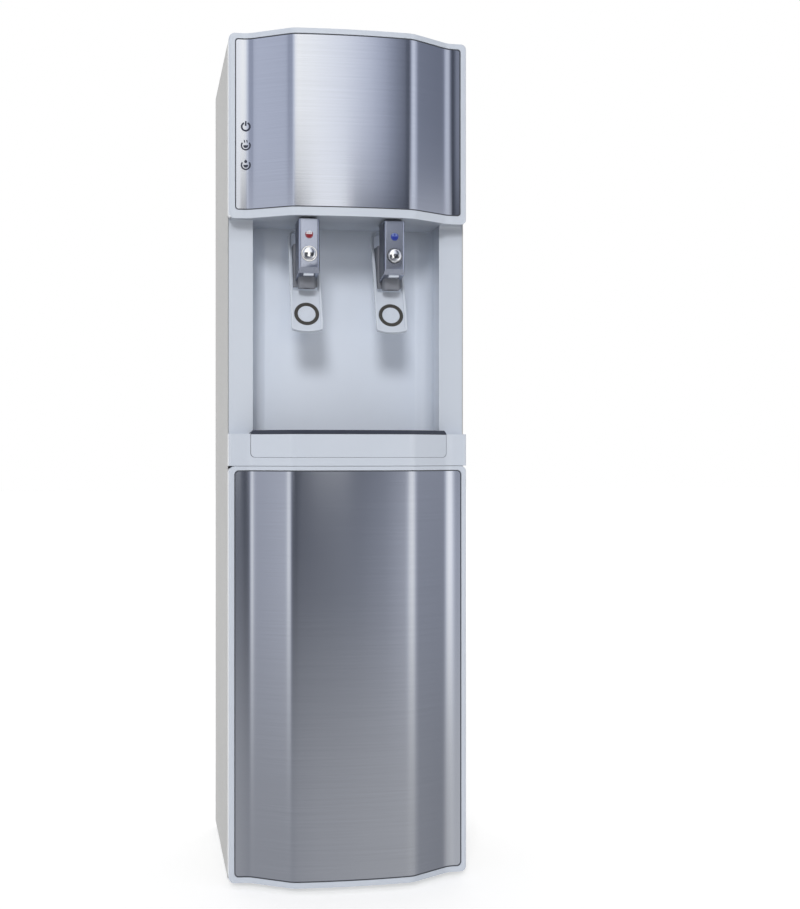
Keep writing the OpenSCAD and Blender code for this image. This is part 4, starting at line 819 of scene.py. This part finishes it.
class DISPENSER_OT_taps(Operator):
    """Add the marks, the dark painted-shade sides and front tabs of the tap covers and the grooved pads of
    the levers
    """

    bl_idname = "dispenser.taps"
    bl_label = "Tap details"

    def execute(self, context):
        for side in SIDES:
            cover = side + "_tap_cover"
            self.painted_shade_sides(cover)
            self.tab(side, cover)
            self.sign(side, cover)
            self.pad(side)
        return {"FINISHED"}

    def painted_shade_sides(self, cover):
        """Dark sheets on the sides of a cover, painted shade where the hood's shadow falls."""
        obj = copy_of(cover)
        centre = middle(cover).x
        tolerance = 0.2 * MM
        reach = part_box(cover)[1].x - centre - tolerance
        keep_faces(obj, lambda f: abs(f.normal.x) > 0.9 and abs(f.calc_center_median().x - centre) > reach)
        rim, rise = 1.4 * MM, 0.2 * MM
        border(obj, rim, False)
        thicken(obj, rise)
        outwards(obj)
        place(obj, cover + "_cheeks", "painted_shade_slate")

    def tab(self, side, cover):
        """The pale tab under the front of a cover."""
        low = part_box(cover)[0]
        obj = primitive(bpy.ops.mesh.primitive_cube_add, size=1.0)
        width, depth, height = 13.0 * MM, 9.0 * MM, 4.0 * MM
        behind, above, edge = 9.5 * MM, 5.0 * MM, 0.8 * MM
        moved(obj, (middle(cover).x, low.y + behind, low.z + above), scale=(width, depth, height))
        rounded(obj, edge)
        place(obj, side + "_tap_tab", "white_plastic")

    def sign(self, side, cover):
        """The hot or cold mark on its ground."""
        height, ground_rise, rise = 832.4 * MM, 0.10 * MM, 0.08 * MM
        where = Vector((middle(cover).x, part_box(cover)[0].y, height))
        mark([disc(4.7 * MM)], ground_rise, where, side + "_mark_ground", side + "_ground")
        where.y -= ground_rise
        shapes = [arc(4.5 * MM, 1.0 * MM, 140, 260), disc(3.9 * MM, below=0.6 * MM)]
        if side == "hot":
            shapes += [bar(0.6 * MM, 2.2 * MM, (x * MM, 2.4 * MM), 10) for x in (-1.3, 1.3)]
        else:
            shapes += [drop(1.1 * MM, (0, 2.2 * MM), 1.5 * MM)]
        mark(shapes, rise, where, side + "_mark", side + "_print")

    def pad(self, side):
        """The grooved disc inside a lever's ring."""
        radius, thickness, sunk = 11.3 * MM, 0.8 * MM, 0.55 * MM
        land, groove, depth, wall = 0.9 * MM, 0.7 * MM, 0.3 * MM, 0.15 * MM
        obj = primitive(bpy.ops.mesh.primitive_circle_add, vertices=72, radius=radius, fill_type="NGON")
        with edit_mode(obj):
            bpy.ops.mesh.extrude_region_move(TRANSFORM_OT_translate={"value": (0, 0, thickness)})
            for _ in range(5):
                bpy.ops.mesh.inset(thickness=land, depth=0)
                bpy.ops.mesh.inset(thickness=wall, depth=-depth)
                bpy.ops.mesh.inset(thickness=groove, depth=0)
                bpy.ops.mesh.inset(thickness=wall, depth=depth)
        normal = Vector((0, -math.cos(LEAN), math.sin(LEAN)))
        moved(obj, middle(side + "_lever_ring") - normal * sunk, (math.radians(90) - LEAN, 0, 0))
        outwards(obj)
        smooth(obj)
        place(obj, side + "_lever_pad", "white_plastic", side + "_lever")


class DISPENSER_OT_springs(Operator):
    """Give the tap springs smooth copies of their own"""

    bl_idname = "dispenser.springs"
    bl_label = "Tap springs"

    def execute(self, context):
        for side in SIDES:
            node = side + "_tap_spring"
            obj = copy_of(node)
            smooth(obj)
            place(obj, node + "_coil", "stainless")
            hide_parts(node)
            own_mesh(obj)
        return {"FINISHED"}


class DISPENSER_OT_screws(Operator):
    """Put cross-recessed heads on the screws of the back panel"""

    bl_idname = "dispenser.screws"
    bl_label = "Rear screws"

    def execute(self, context):
        heads = islands("rear_screws")
        low, high = heads[0]
        radius = (high.x - low.x) / 2
        depth = high.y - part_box("back_panel")[1].y
        first = self.head(radius, depth)
        copies = []
        for low, high in heads:
            centre = (low + high) / 2
            copies.append(duplicate(first, (centre.x, high.y - depth / 2, centre.z)))
        bpy.data.objects.remove(first)
        obj = joined(copies)
        smooth(obj)
        place(obj, "rear_screws_recessed", "galvanised")
        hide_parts("rear_screws")
        return {"FINISHED"}

    def head(self, radius, depth):
        """A rounded head with a cross cut into it, facing backwards."""
        obj = primitive(bpy.ops.mesh.primitive_cylinder_add, vertices=40, radius=radius, depth=depth)
        rounded(obj, depth * 0.35)
        where, size = (0, 0, depth * 0.6), (radius * 1.1, radius * 0.24, depth)
        for turn in (0, 90):
            cutter = primitive(bpy.ops.mesh.primitive_cube_add, size=1.0)
            moved(cutter, where, (0, 0, math.radians(turn)), size)
            modify(obj, "BOOLEAN", object=cutter, operation="DIFFERENCE")
            bpy.data.objects.remove(cutter)
        return moved(obj, (0, 0, 0), (math.radians(-90), 0, 0))


class DISPENSER_OT_stage(Operator):
    """Set up the floor, the reflected studio wall, the lights and the camera"""

    bl_idname = "dispenser.stage"
    bl_label = "Stage"

    def execute(self, context):
        s = settings()
        floor(s.floor_lift)
        studio_wall()
        white_world(context.scene, s.fill, s.surround)
        key_light(s.key_turn, s.key)
        camera(context.scene)
        context.scene.view_settings.view_transform = "Standard"
        return {"FINISHED"}


def floor(lift):
    """A pale floor that stays white around the object's shadow."""
    obj = primitive(bpy.ops.mesh.primitive_plane_add, size=40.0)
    obj.name = "floor"
    material, tree, output = new_material("floor_paint")
    speckle = noise(tree, object_coordinates(tree), 3.0, 3.0)
    tone = tint(tree, speckle, (0.90, 0.90, 0.90), 0.01)
    paint = add(tree, "BsdfPrincipled", {"Base Color": tone, "Roughness": 0.9, "Specular IOR Level": 0.0})
    strength = calculate(tree, "MULTIPLY", seen_directly(tree), lift)
    glow = add(tree, "Emission", {"Color": WHITE, "Strength": strength})
    both = add(tree, "AddShader", {0: paint.outputs[0], 1: glow.outputs[0]})
    feed(tree, output, {0: both.outputs[0]})
    obj.data.materials.append(material)
    obj.visible_glossy = False


def seen_directly(tree):
    """1 for rays from the camera and through or off the object's glossy surfaces."""
    rays = add(tree, "LightPath", {}).outputs
    seen = calculate(tree, "MAXIMUM", rays["Is Camera Ray"], rays["Is Glossy Ray"])
    return calculate(tree, "MAXIMUM", seen, rays["Is Transmission Ray"])


def wall_ramp(tree, share, levels, cool, slope):
    """Light of the wall at each angle, as a colour ramp that is bluer where it is darker."""
    ramp = add(tree, "ValToRGB", {"Fac": share})
    ramp.color_ramp.interpolation = "EASE"
    elements = ramp.color_ramp.elements
    elements.remove(elements[-1])
    for i, (angle, level) in enumerate(levels):
        position = (angle + WALL_SPAN) / (2 * WALL_SPAN)
        element = elements[0] if i == 0 else elements.new(position)
        element.position = position
        blue = cool - slope * level
        stored = level / RAMP_TOP
        element.color = (stored, stored * (0.75 + 0.25 * blue), stored * blue, 1)
    return ramp.outputs["Color"]


def studio_wall():
    """An open round wall in front, seen only in reflections."""
    obj = primitive(bpy.ops.mesh.primitive_cylinder_add, vertices=96, radius=WALL_R, depth=WALL_HEIGHT,
                    end_fill_type="NOTHING", location=(0, -WALL_FORWARD, WALL_MIDDLE))
    obj.name = "studio_wall"
    keep_faces(obj, lambda f: f.calc_center_median().y <= WALL_BACK)
    material, tree, output = new_material("wall_light")
    parts = split(tree, object_coordinates(tree))
    forward = calculate(tree, "MULTIPLY_ADD", parts["Y"], -1.0, -WALL_FORWARD)
    angle = calculate(tree, "ARCTAN2", parts["X"], forward)
    reach = math.radians(WALL_SPAN)
    share = map_range(tree, angle, -reach, reach, 0.0, 1.0)
    light = wall_ramp(tree, share, FOOT_WALL, *FOOT_TONE)
    for levels, start, end, cool, slope in WALL_BANDS:
        height = map_range(tree, parts["Z"], start, end, 0.0, 1.0, "SMOOTHSTEP")
        light = mix_colours(tree, height, light, wall_ramp(tree, share, levels, cool, slope))
    glow = add(tree, "Emission", {"Color": light, "Strength": RAMP_TOP})
    feed(tree, output, {0: glow.outputs[0]})
    obj.data.materials.append(material)
    obj.visible_camera = False
    obj.visible_diffuse = False
    obj.visible_transmission = False
    obj.visible_shadow = False


def white_world(scene, fill, surround):
    """White behind the object, and a soft light that is stronger beside and behind it than in front."""
    world = bpy.data.worlds.new("studio_world")
    scene.world = world
    world.use_nodes = True
    tree = world.node_tree
    tree.nodes.clear()
    direction = add(tree, "TexCoord", {}).outputs["Generated"]
    level = map_range(tree, split(tree, direction)["Y"], -0.7, 0.7, fill, surround, "SMOOTHSTEP")
    light = add(tree, "Background", {"Color": WHITE, "Strength": level})
    white = add(tree, "Background", {"Color": WHITE, "Strength": 1.0})
    mix = add(tree, "MixShader", {0: seen_directly(tree), 1: light.outputs[0], 2: white.outputs[0]})
    add(tree, "OutputWorld", {0: mix.outputs[0]})


def key_light(azimuth, strength):
    """A broad distant lamp. Azimuth runs from the front towards +X, in degrees."""
    a, e = math.radians(azimuth), math.radians(KEY_RISE)
    towards = Vector((math.sin(a) * math.cos(e), -math.cos(a) * math.cos(e), math.sin(e)))
    deselect_all()
    bpy.ops.object.light_add(type="SUN", location=towards * 3)
    obj = bpy.context.object
    obj.name = "key_light"
    obj.data.energy = strength
    obj.data.angle = math.radians(KEY_WIDTH)
    obj.visible_glossy = False
    obj.rotation_euler = (-towards).to_track_quat("-Z", "Y").to_euler()


def camera(scene):
    deselect_all()
    turn = (math.radians(90), 0, math.radians(CAMERA_TURN))
    bpy.ops.object.camera_add(location=CAMERA_PLACE, rotation=turn)
    obj = bpy.context.object
    obj.name = "camera"
    obj.data.lens = LENS
    obj.data.sensor_width = SENSOR
    scene.camera = obj


class DISPENSER_PT_panel(Panel):
    """Lists the colours and the steps"""

    bl_label = "Dispenser"
    bl_idname = "DISPENSER_PT_panel"
    bl_space_type = "VIEW_3D"
    bl_region_type = "UI"
    bl_category = "Dispenser"

    def draw(self, context):
        for name in DispenserSettings.__annotations__:
            self.layout.prop(context.scene.dispenser, name)
        for step in STEPS:
            self.layout.operator(step.bl_idname)


STEPS = (DISPENSER_OT_finishes, DISPENSER_OT_mouldings, DISPENSER_OT_seals, DISPENSER_OT_symbols,
         DISPENSER_OT_taps, DISPENSER_OT_springs, DISPENSER_OT_screws, DISPENSER_OT_stage)
CLASSES = (DispenserSettings, *STEPS, DISPENSER_PT_panel)


def register():
    for cls in CLASSES:
        bpy.utils.register_class(cls)
    bpy.types.Scene.dispenser = PointerProperty(type=DispenserSettings)


def unregister():
    del bpy.types.Scene.dispenser
    for cls in reversed(CLASSES):
        bpy.utils.unregister_class(cls)


def main():
    register()
    for name in ("Cube", "Light", "Camera"):
        if name in bpy.data.objects:
            bpy.data.objects.remove(bpy.data.objects[name])
    bpy.ops.dispenser.finishes()
    bpy.ops.dispenser.mouldings()
    bpy.ops.dispenser.seals()
    bpy.ops.dispenser.symbols()
    bpy.ops.dispenser.taps()
    bpy.ops.dispenser.springs()
    bpy.ops.dispenser.screws()
    bpy.ops.dispenser.stage()


if __name__ == "__main__":
    main()
